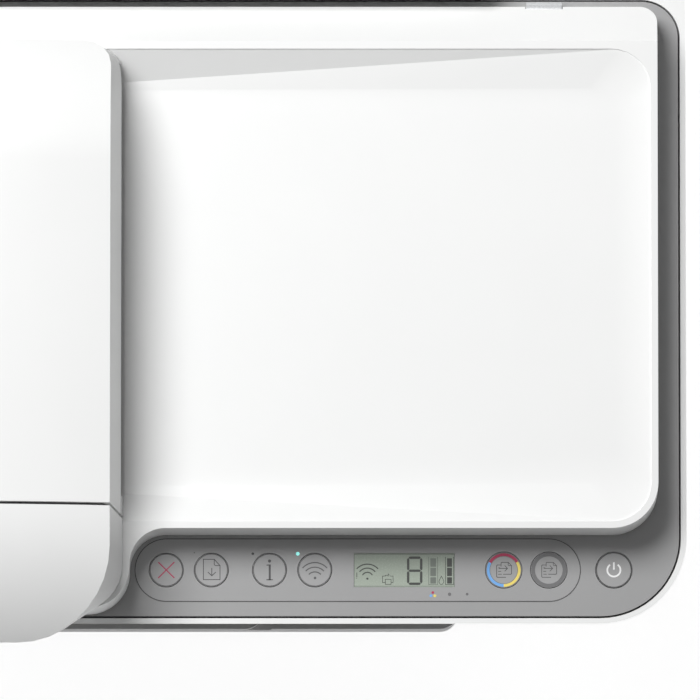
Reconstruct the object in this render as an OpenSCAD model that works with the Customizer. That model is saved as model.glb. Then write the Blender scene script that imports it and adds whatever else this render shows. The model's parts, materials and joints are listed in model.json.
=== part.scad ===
// Inkjet all-in-one printer with a document feeder, a flatbed scanner and a rear paper feed.
// Origin at the middle of the footprint, on the floor. +X right, -Y front, +Z up. Millimetres.

/* [Housing] */
// Width of the body at its rim
body_w = 428; // [420:1:440]
// Distance from the origin to the front rim
body_front = 151; // [149:0.5:156]
// Distance from the origin to the rear wall
body_rear = 166; // [165:0.5:172]
// Height of the control deck and the rim round it
rim_z = 127; // [125:0.5:135]
// How far the front wall leans in, from rim to floor
front_lean = 24; // [16:0.5:26]
// How far each side wall leans in
side_lean = 9; // [4:0.5:11]
// Height of the seam between lower and upper housing
seam_z = 38; // [37:0.5:41]
// Wall thickness of the housings
wall = 2.5; // [2:0.1:3]
// Plan radius of the two front corners
corner_r = 39; // [30:1:44]
// Plan radius of the two rear corners
rear_corner_r = 20; // [14:1:28]
// Height of the raised rear paper block
rear_block_z = 150; // [148:0.5:153]
// Width of the raised rear paper block
rear_block_w = 250; // [244:1:262]
// Height of the rubber feet
foot_h = 3; // [2:0.5:3]
// Width of the dark joint between rim and scanner frame
groove = 0.9; // [0.5:0.1:1.4]

/* [Scanner] */
// Height of the scanner frame from its floor to the deck
scanner_h = 31; // [30:0.5:32]
// Width of the flatbed glass
glass_w = 297; // [290:1:300]
// Depth of the flatbed glass
glass_d = 216; // [210:1:217]
// X of the left edge of the flatbed glass
glass_x = -107; // [-110:1:-104]
// Thickness of both glasses
glass_t = 3; // [2:0.5:3.5]
// Width of the feeder's strip glass
strip_w = 18; // [14:1:19]
// Width of the scan bar
scan_bar_w = 22; // [16:1:26]

/* [Control panel] */
// Length of the stadium overlay
overlay_w = 201; // [199:1:208]
// Depth of the stadium overlay
overlay_d = 28.8; // [26:0.2:29.2]
// X of the middle of the overlay
overlay_x = 65.8; // [62:0.2:66]
// Y of the row of keys
key_y = -126.6; // [-127.2:0.2:-126]
// Thickness of the overlay
overlay_t = 1.2; // [0.8:0.1:1.6]
// Diameter of the four plain keys
key_d = 15.1; // [12:0.1:16]
// Diameter of the two copy keys and the power key
copy_key_d = 16.2; // [13:0.1:17]
// Travel of a key
key_travel = 0.6; // [0.3:0.1:0.9]
// Width of the display window
lcd_w = 45.4; // [40:0.2:48]
// Depth of the display window
lcd_d = 15.5; // [12:0.1:17]

/* [Lid and document feeder] */
// Distance from the origin to the right side of the lid
lid_right = 201; // [198:0.5:203]
// Y of the front wall of the lid
lid_front = -110.8; // [-111.5:0.1:-110]
// Height of the lid's upper edge
lid_top_z = 151; // [149:0.5:152]
// Thickness of the lid's walls
lid_wall = 2.4; // [2:0.1:3]
// Plan radius of the lid's front right corner
lid_corner_r = 21; // [14:0.5:24]
// Height of the crown of the document feeder
feeder_top_z = 200; // [197:0.5:204]
// X of the feeder's right edge at the top
feeder_right = -45.2; // [-48:0.2:-44]
// X of the feeder's left wall
feeder_left = -203; // [-204:0.5:-202]
// Y of the tip of the feeder's nose
nose_front = -166; // [-168:0.5:-164]
// Plan radius of the nose's corners
nose_r = 41.5; // [34:0.5:46]
// Y of the gap between the nose and the feeder cover
cover_gap_y = -106; // [-108:0.5:-104]
// Wall thickness of the feeder's covers
cover_wall = 2.6; // [2:0.1:3]
// Diameter of the feeder's roller
feeder_roller_d = 34; // [30:1:36]

/* [Paper path] */
// Lean of the rear paper support from upright, degrees
support_lean = 15; // [13:0.5:16]
// Width between the paper guides when fully apart
paper_w = 216; // [210:1:218]
// Thickness of the rear paper support
support_t = 2.6; // [2:0.1:2.8]
// Diameter of the feed roller
feed_roller_d = 14; // [12:0.5:15]
// Diameter of the exit roller
exit_roller_d = 9.6; // [8:0.2:11]
// Diameter of the pick roller
pick_roller_d = 20; // [17:0.5:21]
// Diameter of the steel roller shafts
shaft_d = 6; // [5:0.5:7]
// Height at which the paper runs over the platen
paper_z = 42; // [41.5:0.5:43]
// Module of the gears
gear_m = 1; // [1:0.1:1]
// Face width of the gears
gear_face = 4.5; // [4:0.1:4.8]

/* [Output tray and door] */
// Width of the output tray
tray_w = 223; // [216:1:226]
// Depth of the output tray
tray_d = 126; // [116:1:128]
// Height of the output tray's upper face
tray_z = 34; // [32:0.5:35]
// Thickness of the output tray
tray_t = 10; // [9:0.5:10.5]
// Width of the front opening
mouth_w = 238; // [234:1:244]
// Height of the lower edge of the access door
door_z = 62; // [60:0.5:66]
// Height of the upper edge of the access door
door_top_z = 107; // [100:0.5:109]

/* [Print head] */
// Width of the carriage
carriage_w = 80; // [76:1:84]
// X of the middle of the parked carriage
carriage_x = 150; // [146:1:150]
// Width of one ink cartridge
cartridge_w = 33; // [30:0.5:34]

/* [Hidden] */
$fn = 48;
eps = 0.01;
// Clearance between pieces that slide or turn past each other
run_gap = 0.3;
// Clearance round a pin in its bore, on the radius
pin_gap = 0.15;
// Gap left where one piece rests on another
seat_gap = 0.1;
fine = 64;

floor_z = foot_h + wall;
rear_lean = 4;
shelf_z = rim_z - scanner_h;
shelf_w = 3;
frame_rear = 133;
rear_wall_y = frame_rear + groove;
slot_front = rear_wall_y + wall;
deck_t = 5;
panel_t = 2.5;
mouth_low = tray_z - tray_t - 0.5;
// Scanner cavity
scan_left = -198;
scan_right = 200;
glass_front = -102;
scan_floor = 2;
glass_margin = 4;
strip_x = glass_x - 6 - strip_w;
scan_rod_d = 6;
scan_rod_y = 6;
scan_rod_z = shelf_z + scan_floor + 3.8;
// Lid
lid_left = -205;
lid_rear = 129;
lid_low = rim_z + 0.6;
lid_axis_y = lid_rear - 2;
lid_axis_z = rim_z + 4.5;
lid_lip = 3;
block_right = -36.7;
block_front = -147;
block_r = 19;
block_fillet = 16.2;
hinge_x = 150;
hinge_w = 16;
hinge_pin_r = 2;
// Feeder
feeder_rear = 108;
feeder_low = lid_top_z + run_gap;
feeder_split = feeder_low + 5.7;
crown_x = -127;
crown_r = 534;
feeder_axis_x = -122;
feeder_axis_z = rim_z + 1 + feeder_roller_d / 2;
feeder_gap = 1.4;
// Rear paper feed: the ramp's paper face passes through ramp_y at the top of the rear block
ramp_y = 150.5;
ramp_t = 2;
rack_t = 2.4;
rack_plane = ramp_t + 0.4;
support_plane = rack_plane + rack_t + 0.4;
// The paper path cuts into the underside of the scanner frame below this height
feed_bay_z = rim_z - 8;
feed_bay_w = 248;
ramp_len = 108;
support_len = 110;
guide_z = -38;
guide_fin = 4.6;
guide_travel = 55;
guide_pinion_teeth = 16;
// Print engine
feed_y = 60;
feed_z = paper_z - feed_roller_d / 2;
exit_y = 2;
exit_z = paper_z - exit_roller_d / 2;
pick_gap = 0.4;
feed_teeth = 36;
exit_teeth = 24;
pick_teeth = 48;
exit_idler_teeth = 30;
pick_idler_teeth = 22;
pinion_teeth = 12;
plate_t = 3;
left_plate = -169;
right_plate = 124;
gear_x = left_plate - 0.5 - gear_face;
pinion_x = gear_x - 0.5 - gear_face;
rail_y = 56;
rail_t = 1.5;
rail_low = 56;
rail_top = 93;
ledge_z = 60;
lip_y = 48;
belt_z = 77;
pulley_r = 6;
pulley_left = -185;
pulley_right = 192;
belt_y = 51;
belt_w = 4;
belt_t = 1.2;
head_low = paper_z + 1.5;
carriage_front = -8;
carriage_back = 46.9;
carriage_top = 88;
// Keys: name order is cancel, resume, info, wireless, colour copy, black copy, power
key_x = [-20.4, -0.1, 26.1, 46.5, 131.6, 151.9, 181.2];
lcd_x = 86.8;
board_z = rim_z - 12.4;
switch_z = board_z + 2;

function lean_at(z) = (rim_z - z) / (rim_z - foot_h);
function side_x(z) = body_w / 2 - side_lean * lean_at(z);
function front_y(z) = -body_front + front_lean * lean_at(z);
function rear_y(z) = body_rear - rear_lean * lean_at(z);

// A box from its lowest corner to its highest
module box(low, high) {
    translate(low)
        cube(high - low);
}

// Extrudes a (Y, Z) outline along X
module along_x(x, length) {
    translate([x, 0, 0])
        rotate([90, 0, 90])
            linear_extrude(length)
                children();
}

// A cylinder along X
module rod_x(x0, x1, y, z, r) {
    translate([x0, y, z])
        rotate([0, 90, 0])
            cylinder(r = r, h = x1 - x0);
}

// A cylinder along Y
module rod_y(y0, y1, x, z, r) {
    translate([x, y0, z])
        rotate([-90, 0, 0])
            cylinder(r = r, h = y1 - y0);
}

// A rectangle with its own radius at front left, front right, rear right and rear left
module plate_outline(x0, y0, x1, y1, radii) {
    corners = [[x0, y0, 1, 1], [x1, y0, -1, 1], [x1, y1, -1, -1], [x0, y1, 1, -1]];
    difference() {
        translate([x0, y0])
            square([x1 - x0, y1 - y0]);
        for (i = [0:3]) {
            c = corners[i];
            r = radii[i];
            translate([c[0], c[1]])
                scale([c[2], c[3]])
                    difference() {
                        translate([-1, -1])
                            square([r + 1, r + 1]);
                        translate([r, r])
                            circle(r, $fn = fine);
                    }
        }
    }
}

// One slice of the leaning body, inset from the outside, for use inside a hull
module body_slice(z, inset, rear) {
    x = side_x(z) - inset;
    y0 = front_y(z) + inset;
    y1 = is_undef(rear) ? rear_y(z) - inset : rear;
    rf = corner_r - inset;
    rr = max(rear_corner_r - inset, 4);
    for (s = [-1, 1]) {
        translate([s * (x - rf), y0 + rf, z])
            cylinder(r = rf, h = eps, $fn = fine);
        translate([s * (x - rr), y1 - rr, z])
            cylinder(r = rr, h = eps, $fn = fine);
    }
}

// The leaning body between two heights
module body_form(z0, z1, inset, rear) {
    hull() {
        body_slice(z0, inset, rear);
        body_slice(z1 - eps, inset, rear);
    }
}

// ---- Lower housing ----
module tray_runners() {
    tray_side = tray_w / 2 + run_gap;
    for (s = [-1, 1]) {
        box([min(s * tray_side, s * (tray_side + 3)), -128, floor_z - eps],
            [max(s * tray_side, s * (tray_side + 3)), -14, tray_z + 2]);
        box([min(s * (tray_side - 3), s * (tray_side + 3)), -126, tray_z + run_gap],
            [max(s * (tray_side - 3), s * (tray_side + 3)), -14, tray_z + 2]);
        box([s * 62 - 2, -128, floor_z - eps], [s * 62 + 2, -14, tray_z - tray_t - run_gap]);
    }
}

module floor_ribs() {
    for (x = [-188:24:188])
        box([x - 0.8, -110, floor_z - eps], [x + 0.8, -14, floor_z + 4]);
    for (y = [-100:24:-20])
        box([-198, y - 0.8, floor_z - eps], [198, y + 0.8, floor_z + 4]);
}

module base_tray() {
    color("whitesmoke")
        difference() {
            union() {
                difference() {
                    body_form(foot_h, seam_z, 0);
                    body_form(floor_z, seam_z + 1, wall);
                }
                tray_runners();
                floor_ribs();
                for (x = [-185, 185], y = [-70, 135])
                    translate([x, y, floor_z - eps])
                        cylinder(d = 9, h = seam_z - floor_z);
            }
            box([-tray_w / 2 - 1.2, -body_front, mouth_low], [tray_w / 2 + 1.2, -120, seam_z + 1]);
            socket_holes();
            for (x = [-185, 185], y = [-70, 135])
                translate([x, y, -1])
                    cylinder(d = 5, h = seam_z - 8);
            for (i = [-4:4])
                box([i * 10 - 2, 75, -1], [i * 10 + 2, 110, floor_z + 1]);
        }
}

// Openings in the rear wall for the power inlet and the data socket
inlet_x = 164;
inlet_w = 24;
inlet_h = 14;
inlet_z = 20;
usb_x = -104;
usb_w = 13;
usb_h = 12;
usb_z = 18;
socket_y = rear_y(inlet_z) - 0.8;

module socket_holes() {
    box([inlet_x - inlet_w / 2 - 0.2, 150, inlet_z - inlet_h / 2 - 0.2],
        [inlet_x + inlet_w / 2 + 0.2, 170, inlet_z + inlet_h / 2 + 0.2]);
    box([usb_x - usb_w / 2 - 0.2, 150, usb_z - usb_h / 2 - 0.2],
        [usb_x + usb_w / 2 + 0.2, 170, usb_z + usb_h / 2 + 0.2]);
}

module rubber_feet() {
    color("dimgray")
        for (x = [-172, 172], y = [-96, 134])
            translate([x, y, 0])
                cylinder(d = 18, h = foot_h);
}

// ---- Upper housing ----
door_axis_z = door_z + 4;
door_axis_y = front_y(door_axis_z) + 5.5;
door_pin_r = 2;
ear_w = 5;

module door_ears() {
    for (s = [-1, 1]) {
        x0 = s > 0 ? mouth_w / 2 : -mouth_w / 2 - ear_w;
        box([x0, door_axis_y - 5, door_axis_z - 4], [x0 + ear_w, door_axis_y + 4, door_axis_z + 4]);
    }
}

module rear_block() {
    r = 4;
    hull()
        for (p = [[rim_z - 4, 0], [rear_block_z - eps, 0.8]], s = [-1, 1]) {
            for (y = [rear_wall_y + r, rear_y(p[0]) - r - p[1]])
                translate([s * (rear_block_w / 2 - r - p[1]), y, p[0]])
                    cylinder(r = r, h = eps, $fn = 32);
        }
}

module housing() {
    slot_half = rear_block_w / 2 - 5;
    color("white")
        difference() {
            union() {
                difference() {
                    body_form(seam_z, rim_z, 0);
                    body_form(seam_z - 1, shelf_z, wall + shelf_w);
                    body_form(shelf_z - eps, rim_z + 1, wall, rear_wall_y);
                    box([-mouth_w / 2, -body_front - 1, seam_z - 1],
                        [mouth_w / 2, -118, door_top_z + run_gap]);
                }
                rear_block();
                door_ears();
            }
            box([-slot_half, slot_front, shelf_z - 1], [slot_half, rear_y(shelf_z) - wall - 0.8, rear_block_z + 1]);
            box([-feed_bay_w / 2, frame_rear - 2, shelf_z - 1], [feed_bay_w / 2, slot_front + 1, feed_bay_z - 2]);
            for (s = [-1, 1])
                box([min(s * (slot_half + 3), s * 200), slot_front, shelf_z - 1],
                    [max(s * (slot_half + 3), s * 200), rear_y(shelf_z) - wall - shelf_w, rim_z - wall]);
            rod_x(-mouth_w / 2 - ear_w + 1, mouth_w / 2 + ear_w - 1, door_axis_y, door_axis_z,
                  door_pin_r + pin_gap);
            rear_vents();
        }
}

// Cooling slots low in the rear wall
module rear_vents() {
    for (i = [0:11])
        box([-60 + i * 10, 150, 58], [-56 + i * 10, 170, 80]);
}

// ---- Scanner and control deck ----
board_x0 = -46;
board_x1 = 189;
board_y0 = -137;
board_y1 = -113;
boss_x = [board_x0 + 6, (key_x[5] + key_x[6]) / 2];

module key_holes(extra) {
    for (i = [0:6])
        translate([key_x[i], key_y, rim_z - 12])
            cylinder(d = (i > 3 ? copy_key_d : key_d) + extra, h = 13);
}

module overlay_outline(grow) {
    r = overlay_d / 2;
    half = overlay_w / 2 - r;
    translate([overlay_x, key_y]) {
        square([2 * half, 2 * (r + grow)], center = true);
        for (s = [-1, 1])
            translate([s * half, 0])
                circle(r + grow, $fn = fine);
    }
}

module lcd_window(grow) {
    box([lcd_x - lcd_w / 2 - grow, key_y - lcd_d / 2 - grow, rim_z - 12],
        [lcd_x + lcd_w / 2 + grow, key_y + lcd_d / 2 + grow, rim_z + 1]);
}

glass_rear = glass_front + glass_d;

module scanner_frame() {
    cavity_top = rim_z - deck_t;
    color("dimgray")
        difference() {
            union() {
                difference() {
                    body_form(shelf_z, rim_z, wall + groove, frame_rear);
                    // Scanner well, control well, and the two hollows that save material
                    box([scan_left, glass_front - 2, shelf_z + scan_floor],
                        [scan_right, glass_rear + 2, cavity_top]);
                    intersection() {
                        body_form(shelf_z - 1, rim_z, wall + groove + 2);
                        union() {
                            box([board_x0 - 4, -body_front, shelf_z - 1],
                                [side_x(rim_z), glass_front - 5, rim_z - panel_t]);
                            box([-side_x(rim_z), -body_front, shelf_z - 1],
                                [board_x0 - 7, glass_front - 5, rim_z - panel_t]);
                        }
                    }
                    box([-feed_bay_w / 2, glass_rear + 5, shelf_z - 1],
                        [feed_bay_w / 2, frame_rear + 1, feed_bay_z]);
                }
                // Bosses that carry the control board
                for (x = boss_x, y = [board_y0 + 4, board_y1 - 4])
                    translate([x, y, board_z + 1.6])
                        cylinder(d = 5, h = rim_z - panel_t - board_z - 1.6 + eps);
            }
            // Both glasses drop in from above on a ledge
            box([glass_x - seat_gap, glass_front - seat_gap, rim_z - glass_t - seat_gap],
                [glass_x + glass_w + seat_gap, glass_rear + seat_gap, rim_z + 1]);
            box([glass_x + glass_margin, glass_front + glass_margin, cavity_top - 1],
                [glass_x + glass_w - glass_margin, glass_rear - glass_margin, rim_z + 1]);
            box([strip_x - seat_gap, glass_front - seat_gap, rim_z - glass_t - seat_gap],
                [strip_x + strip_w + seat_gap, glass_rear + seat_gap, rim_z + 1]);
            box([strip_x + 3, glass_front + glass_margin, cavity_top - 1],
                [strip_x + strip_w - 3, glass_rear - glass_margin, rim_z + 1]);
            // Recess for the overlay, and the holes of the controls
            translate([0, 0, rim_z - overlay_t])
                linear_extrude(overlay_t + 1)
                    overlay_outline(seat_gap);
            key_holes(2 * run_gap);
            lcd_window(seat_gap);
            for (s = [-1, 1])
                box([s * hinge_x - hinge_w / 2 - seat_gap, lid_axis_y - 3.5 - seat_gap, rim_z - 15],
                    [s * hinge_x + hinge_w / 2 + seat_gap, lid_axis_y + 3.5 + seat_gap, rim_z + 1]);
        }
}

module scan_glass() {
    color("lightsteelblue", 0.5)
        box([glass_x, glass_front, rim_z - glass_t], [glass_x + glass_w, glass_rear, rim_z]);
}

module strip_glass() {
    color("lightsteelblue", 0.5)
        box([strip_x, glass_front, rim_z - glass_t], [strip_x + strip_w, glass_rear, rim_z]);
}

module scan_rail() {
    color("silver")
        rod_x(scan_left + seat_gap, scan_right - seat_gap, scan_rod_y, scan_rod_z, scan_rod_d / 2);
}

module scan_bar() {
    x = strip_x + strip_w / 2;
    top = rim_z - deck_t - 1;
    low = shelf_z + scan_floor + 0.5;
    color("black")
        difference() {
            union() {
                box([x - scan_bar_w / 2, glass_front, top - 14], [x + scan_bar_w / 2, glass_rear, top]);
                box([x - scan_bar_w / 2, scan_rod_y - 12, low], [x + scan_bar_w / 2, scan_rod_y + 12, top]);
            }
            // Light trough along the top, and the rail's bore
            box([x - 4, glass_front + 3, top - 4], [x + 4, glass_rear - 3, top + 1]);
            rod_x(x - scan_bar_w, x + scan_bar_w, scan_rod_y, scan_rod_z, scan_rod_d / 2 + pin_gap);
        }
}

module control_overlay() {
    color("gray")
        difference() {
            translate([0, 0, rim_z - overlay_t])
                linear_extrude(overlay_t + 0.1)
                    overlay_outline(0);
            key_holes(2 * run_gap);
            lcd_window(0);
        }
}

module display() {
    low = board_z + 1.6 + seat_gap;
    color("darkseagreen")
        box([lcd_x - lcd_w / 2 + 0.1, key_y - lcd_d / 2 + 0.1, low],
            [lcd_x + lcd_w / 2 - 0.1, key_y + lcd_d / 2 - 0.1, rim_z - 0.3]);
}

module control_board() {
    color("darkgreen")
        difference() {
            union() {
                box([board_x0, board_y0, board_z], [board_x1, board_y1, board_z + 1.6 - seat_gap]);
                for (x = key_x)
                    translate([x, key_y, board_z])
                        cylinder(d = 5, h = switch_z + 1.6 - board_z);
            }
            for (x = boss_x, y = [board_y0 + 4, board_y1 - 4])
                translate([x, y, board_z - 1])
                    cylinder(d = 2.2, h = 4);
        }
}

// A round key: its cap stands in the deck, its flange catches under the deck
module round_key(i, d) {
    flange_top = rim_z - panel_t - run_gap;
    translate([key_x[i], key_y, 0]) {
        translate([0, 0, flange_top - 2])
            cylinder(d = d, h = rim_z + 0.2 - flange_top + 2);
        translate([0, 0, flange_top - 2])
            cylinder(d = d + 2.4, h = 2);
        translate([0, 0, switch_z + 1.6 + key_travel + 0.2])
            cylinder(d = 4, h = flange_top - 2 - switch_z - 1.6 - key_travel - 0.2 + eps);
    }
}

module key_cancel() { color("gray") round_key(0, key_d); }
module key_resume() { color("gray") round_key(1, key_d); }
module key_info() { color("gray") round_key(2, key_d); }
module key_wireless() { color("gray") round_key(3, key_d); }
module key_color() { color("gray") round_key(4, copy_key_d); }
module key_black() { color("gray") round_key(5, copy_key_d); }
module key_power() { color("silver") round_key(6, copy_key_d); }

// ---- Lid ----
// Plan of the lid: a rounded plate with a block in front of it that carries the feeder's nose
module lid_plan() {
    plate_outline(lid_left, lid_front, lid_right, lid_rear, [1, lid_corner_r, 8, 8]);
    plate_outline(lid_left, block_front, block_right, lid_front + 20, [block_r, block_r, 1, 1]);
    translate([block_right - eps, lid_front - block_fillet])
        difference() {
            square(block_fillet + eps);
            translate([block_fillet + eps, 0])
                circle(block_fillet, $fn = fine);
        }
}

module lid_outline(inset) {
    offset(delta = -inset)
        lid_plan();
}

// The dish in the lid: shallow at the right, deeper towards the feeder's slot
module lid_dish(grow) {
    slope = 17;
    top_x1 = lid_right - lid_lip;
    deep_z = lid_top_z - 11.5 - grow;
    shallow_z = lid_top_z - 3.5 - grow;
    hull() {
        for (y = [lid_front + lid_lip + 18, dish_rear - 18]) {
            translate([top_x1 - 18, y, lid_top_z + 1])
                cylinder(r = 18 + grow, h = 1, $fn = 32);
            translate([top_x1 - 18, y, lid_top_z - 0.5])
                cylinder(r = 18 + grow, h = eps, $fn = 32);
            translate([top_x1 - slope - 14, y + (y < 0 ? slope - 4 : 4 - slope), shallow_z])
                cylinder(r = 14 + grow, h = eps, $fn = 32);
        }
        for (y = [lid_front + lid_lip + 4, dish_rear - 4]) {
            translate([dish_left + 4, y, lid_top_z - 0.5])
                cylinder(r = 4 + grow, h = 1 + 0.5, $fn = 32);
            translate([dish_left + 6, y + (y < 0 ? slope : -slope), deep_z])
                cylinder(r = 4 + grow, h = eps, $fn = 32);
        }
    }
}
dish_rear = 107.5;
dish_left = -98;

module lid_ribs() {
    for (x = [-60, 0, 60, 120])
        box([x - 1, lid_front + 1, pad_top + seat_gap], [x + 1, lid_rear - 10, lid_top_z - 1]);
    for (y = [0])
        box([lid_left + 1, y - 1, pad_top + seat_gap], [lid_right - 1, y + 1, lid_top_z - 1]);
}
pad_low = rim_z + 0.4;
pad_top = pad_low + 3;

module bracket_pockets(extra) {
    for (s = [-1, 1], side = [-1, 1]) {
        x = s * hinge_x + side * (hinge_w / 2 + 3);
        box([x - 2.5, lid_axis_y - 4, lid_low - extra], [x + 2.5, lid_rear + extra, lid_low + 9]);
    }
}
// Eyes that turn on the hinge pins, let into the lid's rear edge
module lid_brackets() {
    color("white")
        difference() {
            bracket_pockets(0);
            for (s = [-1, 1])
                rod_x(s * hinge_x - 14.5, s * hinge_x + 14.5, lid_axis_y, lid_axis_z, hinge_pin_r + pin_gap);
        }
}
module lid_shell() {
    bevel_y = lid_rear - 18;
    color("white")
        difference() {
            union() {
                difference() {
                    translate([0, 0, lid_low])
                        linear_extrude(lid_top_z - lid_low)
                            lid_outline(0);
                    translate([0, 0, lid_low - 1])
                        linear_extrude(lid_top_z - lid_wall - lid_low + 1)
                            lid_outline(lid_wall);
                }
                intersection() {
                    translate([0, 0, lid_low])
                        linear_extrude(lid_top_z - lid_low)
                            lid_outline(0);
                    union() {
                        lid_dish(lid_wall);
                        lid_ribs();
                        // Rear wall under the bevel
                        along_x(lid_left, lid_right - lid_left)
                            polygon([[bevel_y - 3, lid_top_z], [bevel_y, lid_top_z], [lid_rear, lid_top_z - 14],
                                     [lid_rear, lid_top_z - 16.8], [bevel_y - 3, lid_top_z - lid_wall]]);
                    }
                }
            }
            lid_dish(0);
            // Bevel that lets the lid swing up in front of the rear block
            along_x(lid_left - 1, lid_right - lid_left + 2)
                polygon([[bevel_y, lid_top_z + eps], [bevel_y, lid_top_z + 5], [lid_rear + 5, lid_top_z + 5],
                         [lid_rear + 5, lid_top_z - 18], [lid_rear, lid_top_z - 14]]);
            // Way through for the feeder's roller and motor, and the pick roller
            box([feeder_axis_x - 19, -106, lid_low - 1], [feeder_axis_x + 19, 105, lid_top_z + 1]);
            box([feeder_axis_x - 15, -142, lid_low - 1], [feeder_axis_x + 15, -100, lid_top_z + 1]);
            for (s = [-1, 1]) {
                box([s * hinge_x - hinge_w / 2 - 0.5, lid_axis_y - 11, lid_low - 1],
                    [s * hinge_x + hinge_w / 2 + 0.5, lid_rear + 1, lid_axis_z + 6.5]);
            }
            bracket_pockets(1);
        }
}

module lid_pad() {
    color("white")
        box([glass_x + 1, lid_front + lid_wall + 4.5, pad_low], [lid_right - 11, glass_rear, pad_top]);
}

module lid_hinges() {
    color("darkgray")
        for (s = [-1, 1]) {
            box([s * hinge_x - hinge_w / 2, lid_axis_y - 3.5, rim_z - 15 + seat_gap],
                [s * hinge_x + hinge_w / 2, lid_axis_y + 3.5, lid_axis_z]);
            rod_x(s * hinge_x - hinge_w / 2, s * hinge_x + hinge_w / 2, lid_axis_y, lid_axis_z, 5);
            rod_x(s * hinge_x - 13, s * hinge_x + 13, lid_axis_y, lid_axis_z, hinge_pin_r);
        }
}

// ---- Document feeder ----
nose_arc = 88;
nose_arc_y = -108;
rear_arc = 80;
rear_arc_y = 50;
cover_pin_x = feeder_left + 2.2;
cover_pin_z = feeder_split + 2.2;
cover_pin_r = 1.2;
cover_ears = [-80, 62];

// How far the top falls away below the crown line
function drop(y) = y < nose_arc_y ? nose_arc - sqrt(pow(nose_arc, 2) - pow(nose_arc_y - y, 2))
    : y > rear_arc_y ? rear_arc - sqrt(pow(rear_arc, 2) - pow(y - rear_arc_y, 2)) : 0;
function crown(x) = pow(x - crown_x, 2) / (2 * crown_r);

// The feeder's closed form: crowned cross sections along Y whose ends follow the rounded plan,
// drawn down to the narrower foot that stands on the lid. A larger inset gives its hollow.
// Crowned body of the feeder from y_from to y_to, drawn in by inset all round
module feeder_form(inset, y_from = nose_front, y_to = feeder_rear, lip = 0.5) {
    steps = 12;
    slice = 0.05;
    draft = 0.128;
    top_x = feeder_right - draft * 7.3;
    low = feeder_low - (inset > 0 ? 1 : 0);
    foot_x = top_x + draft * (feeder_top_z - low) - inset;
    x0 = feeder_left + inset;
    x1 = top_x + draft * 8 - inset;
    rn = nose_r - inset;
    rr = 12 - inset;
    foot_y = block_front - 1.5 + inset;
    rf = min(block_r + 3 - inset, (y_to - foot_y) / 2 - 0.4);
    y_nose = nose_front + nose_r;
    y_rear = feeder_rear - 12;
    whole = concat(
        [for (a = [90:-10:10]) [y_nose - rn * sin(a), rn * (1 - cos(a))]],
        [for (y = [y_nose, -116, nose_arc_y, rear_arc_y, 62, 74, 86]) [y, 0]],
        [for (a = [0:22.5:90]) [y_rear + rr * sin(a), rr * (1 - cos(a))]]);
    // Each section is its Y and how far its ends are drawn in
    sections = concat(
        y_from > nose_front ? [[y_from, 0]] : [],
        [for (section = whole) if (section[0] > y_from + 0.5 && section[0] < y_to - 0.5) section],
        y_to < feeder_rear ? [[y_to, 0]] : [],
        y_from > nose_front ? [] : [whole[0]],
        y_to < feeder_rear ? [] : [whole[len(whole) - 1]]);
    hull() {
        for (section = sections) {
            xa = x0 + section[1];
            xb = x1 - section[1];
            arc = [for (i = [0:steps]) let (x = xb + (xa - xb) * i / steps)
                [x, feeder_top_z - crown(x) - drop(section[0]) - inset]];
            // The slice lies inward of its own Y, so that an end of the form is flat
            translate([0, section[0] + (section[0] < 0 ? slice : 0), 0])
                rotate([90, 0, 0])
                    linear_extrude(slice)
                        polygon(concat(arc, [for (i = [steps:-1:0]) arc[i] - [0, lip]]));
        }
        if (y_from > nose_front)
            box([x0, y_from, low], [foot_x, y_from + slice, low + slice]);
        else
            foot_corners(low, x0, foot_x, foot_y + rf, rf, slice);
        if (y_to < feeder_rear)
            box([x0, y_to - slice, low], [foot_x, y_to, low + slice]);
        else
            foot_corners(low, x0, foot_x, feeder_rear - inset - rr, rr, slice);
    }
}
module foot_corners(z, x0, x1, y, r, h) {
    for (x = [x0 + r, x1 - r])
        translate([x, y, z])
            cylinder(r = r, h = h, $fn = 32);
}
module feeder_nose() {
    nose_lip = 2;
    rear = cover_gap_y - feeder_gap / 2;
    color("white")
        difference() {
            feeder_form(0, y_to = rear, lip = nose_lip);
            feeder_form(cover_wall, y_to = rear - cover_wall, lip = nose_lip);
            box([feeder_axis_x - 15, rear - 5, feeder_low - 1],
                [feeder_axis_x + 15, rear + 1, feeder_axis_z + 15]);
        }
}

module feeder_cover() {
    color("white")
        difference() {
            union() {
                difference() {
                    intersection() {
                        feeder_form(0, y_from = cover_gap_y + feeder_gap / 2);
                        box([-300, -150, feeder_split], [0, 300, 300]);
                    }
                    feeder_form(cover_wall, y_from = -120);
                }
                for (y = cover_ears, s = [-1, 1])
                    rod_y(y + s * 6 - 2.4, y + s * 6 + 2.4, cover_pin_x, cover_pin_z, 2.2);
            }
            for (y = cover_ears)
                box([feeder_left - 1, y - 3.5, feeder_split - 1], [feeder_left + 7, y + 3.5, cover_pin_z + 3.5]);
        }
    color("white")
        for (y = cover_ears)
            rod_y(y - 4, y + 4, cover_pin_x, cover_pin_z, cover_pin_r);
}

roller_plate_y = [-102, 99];

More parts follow.
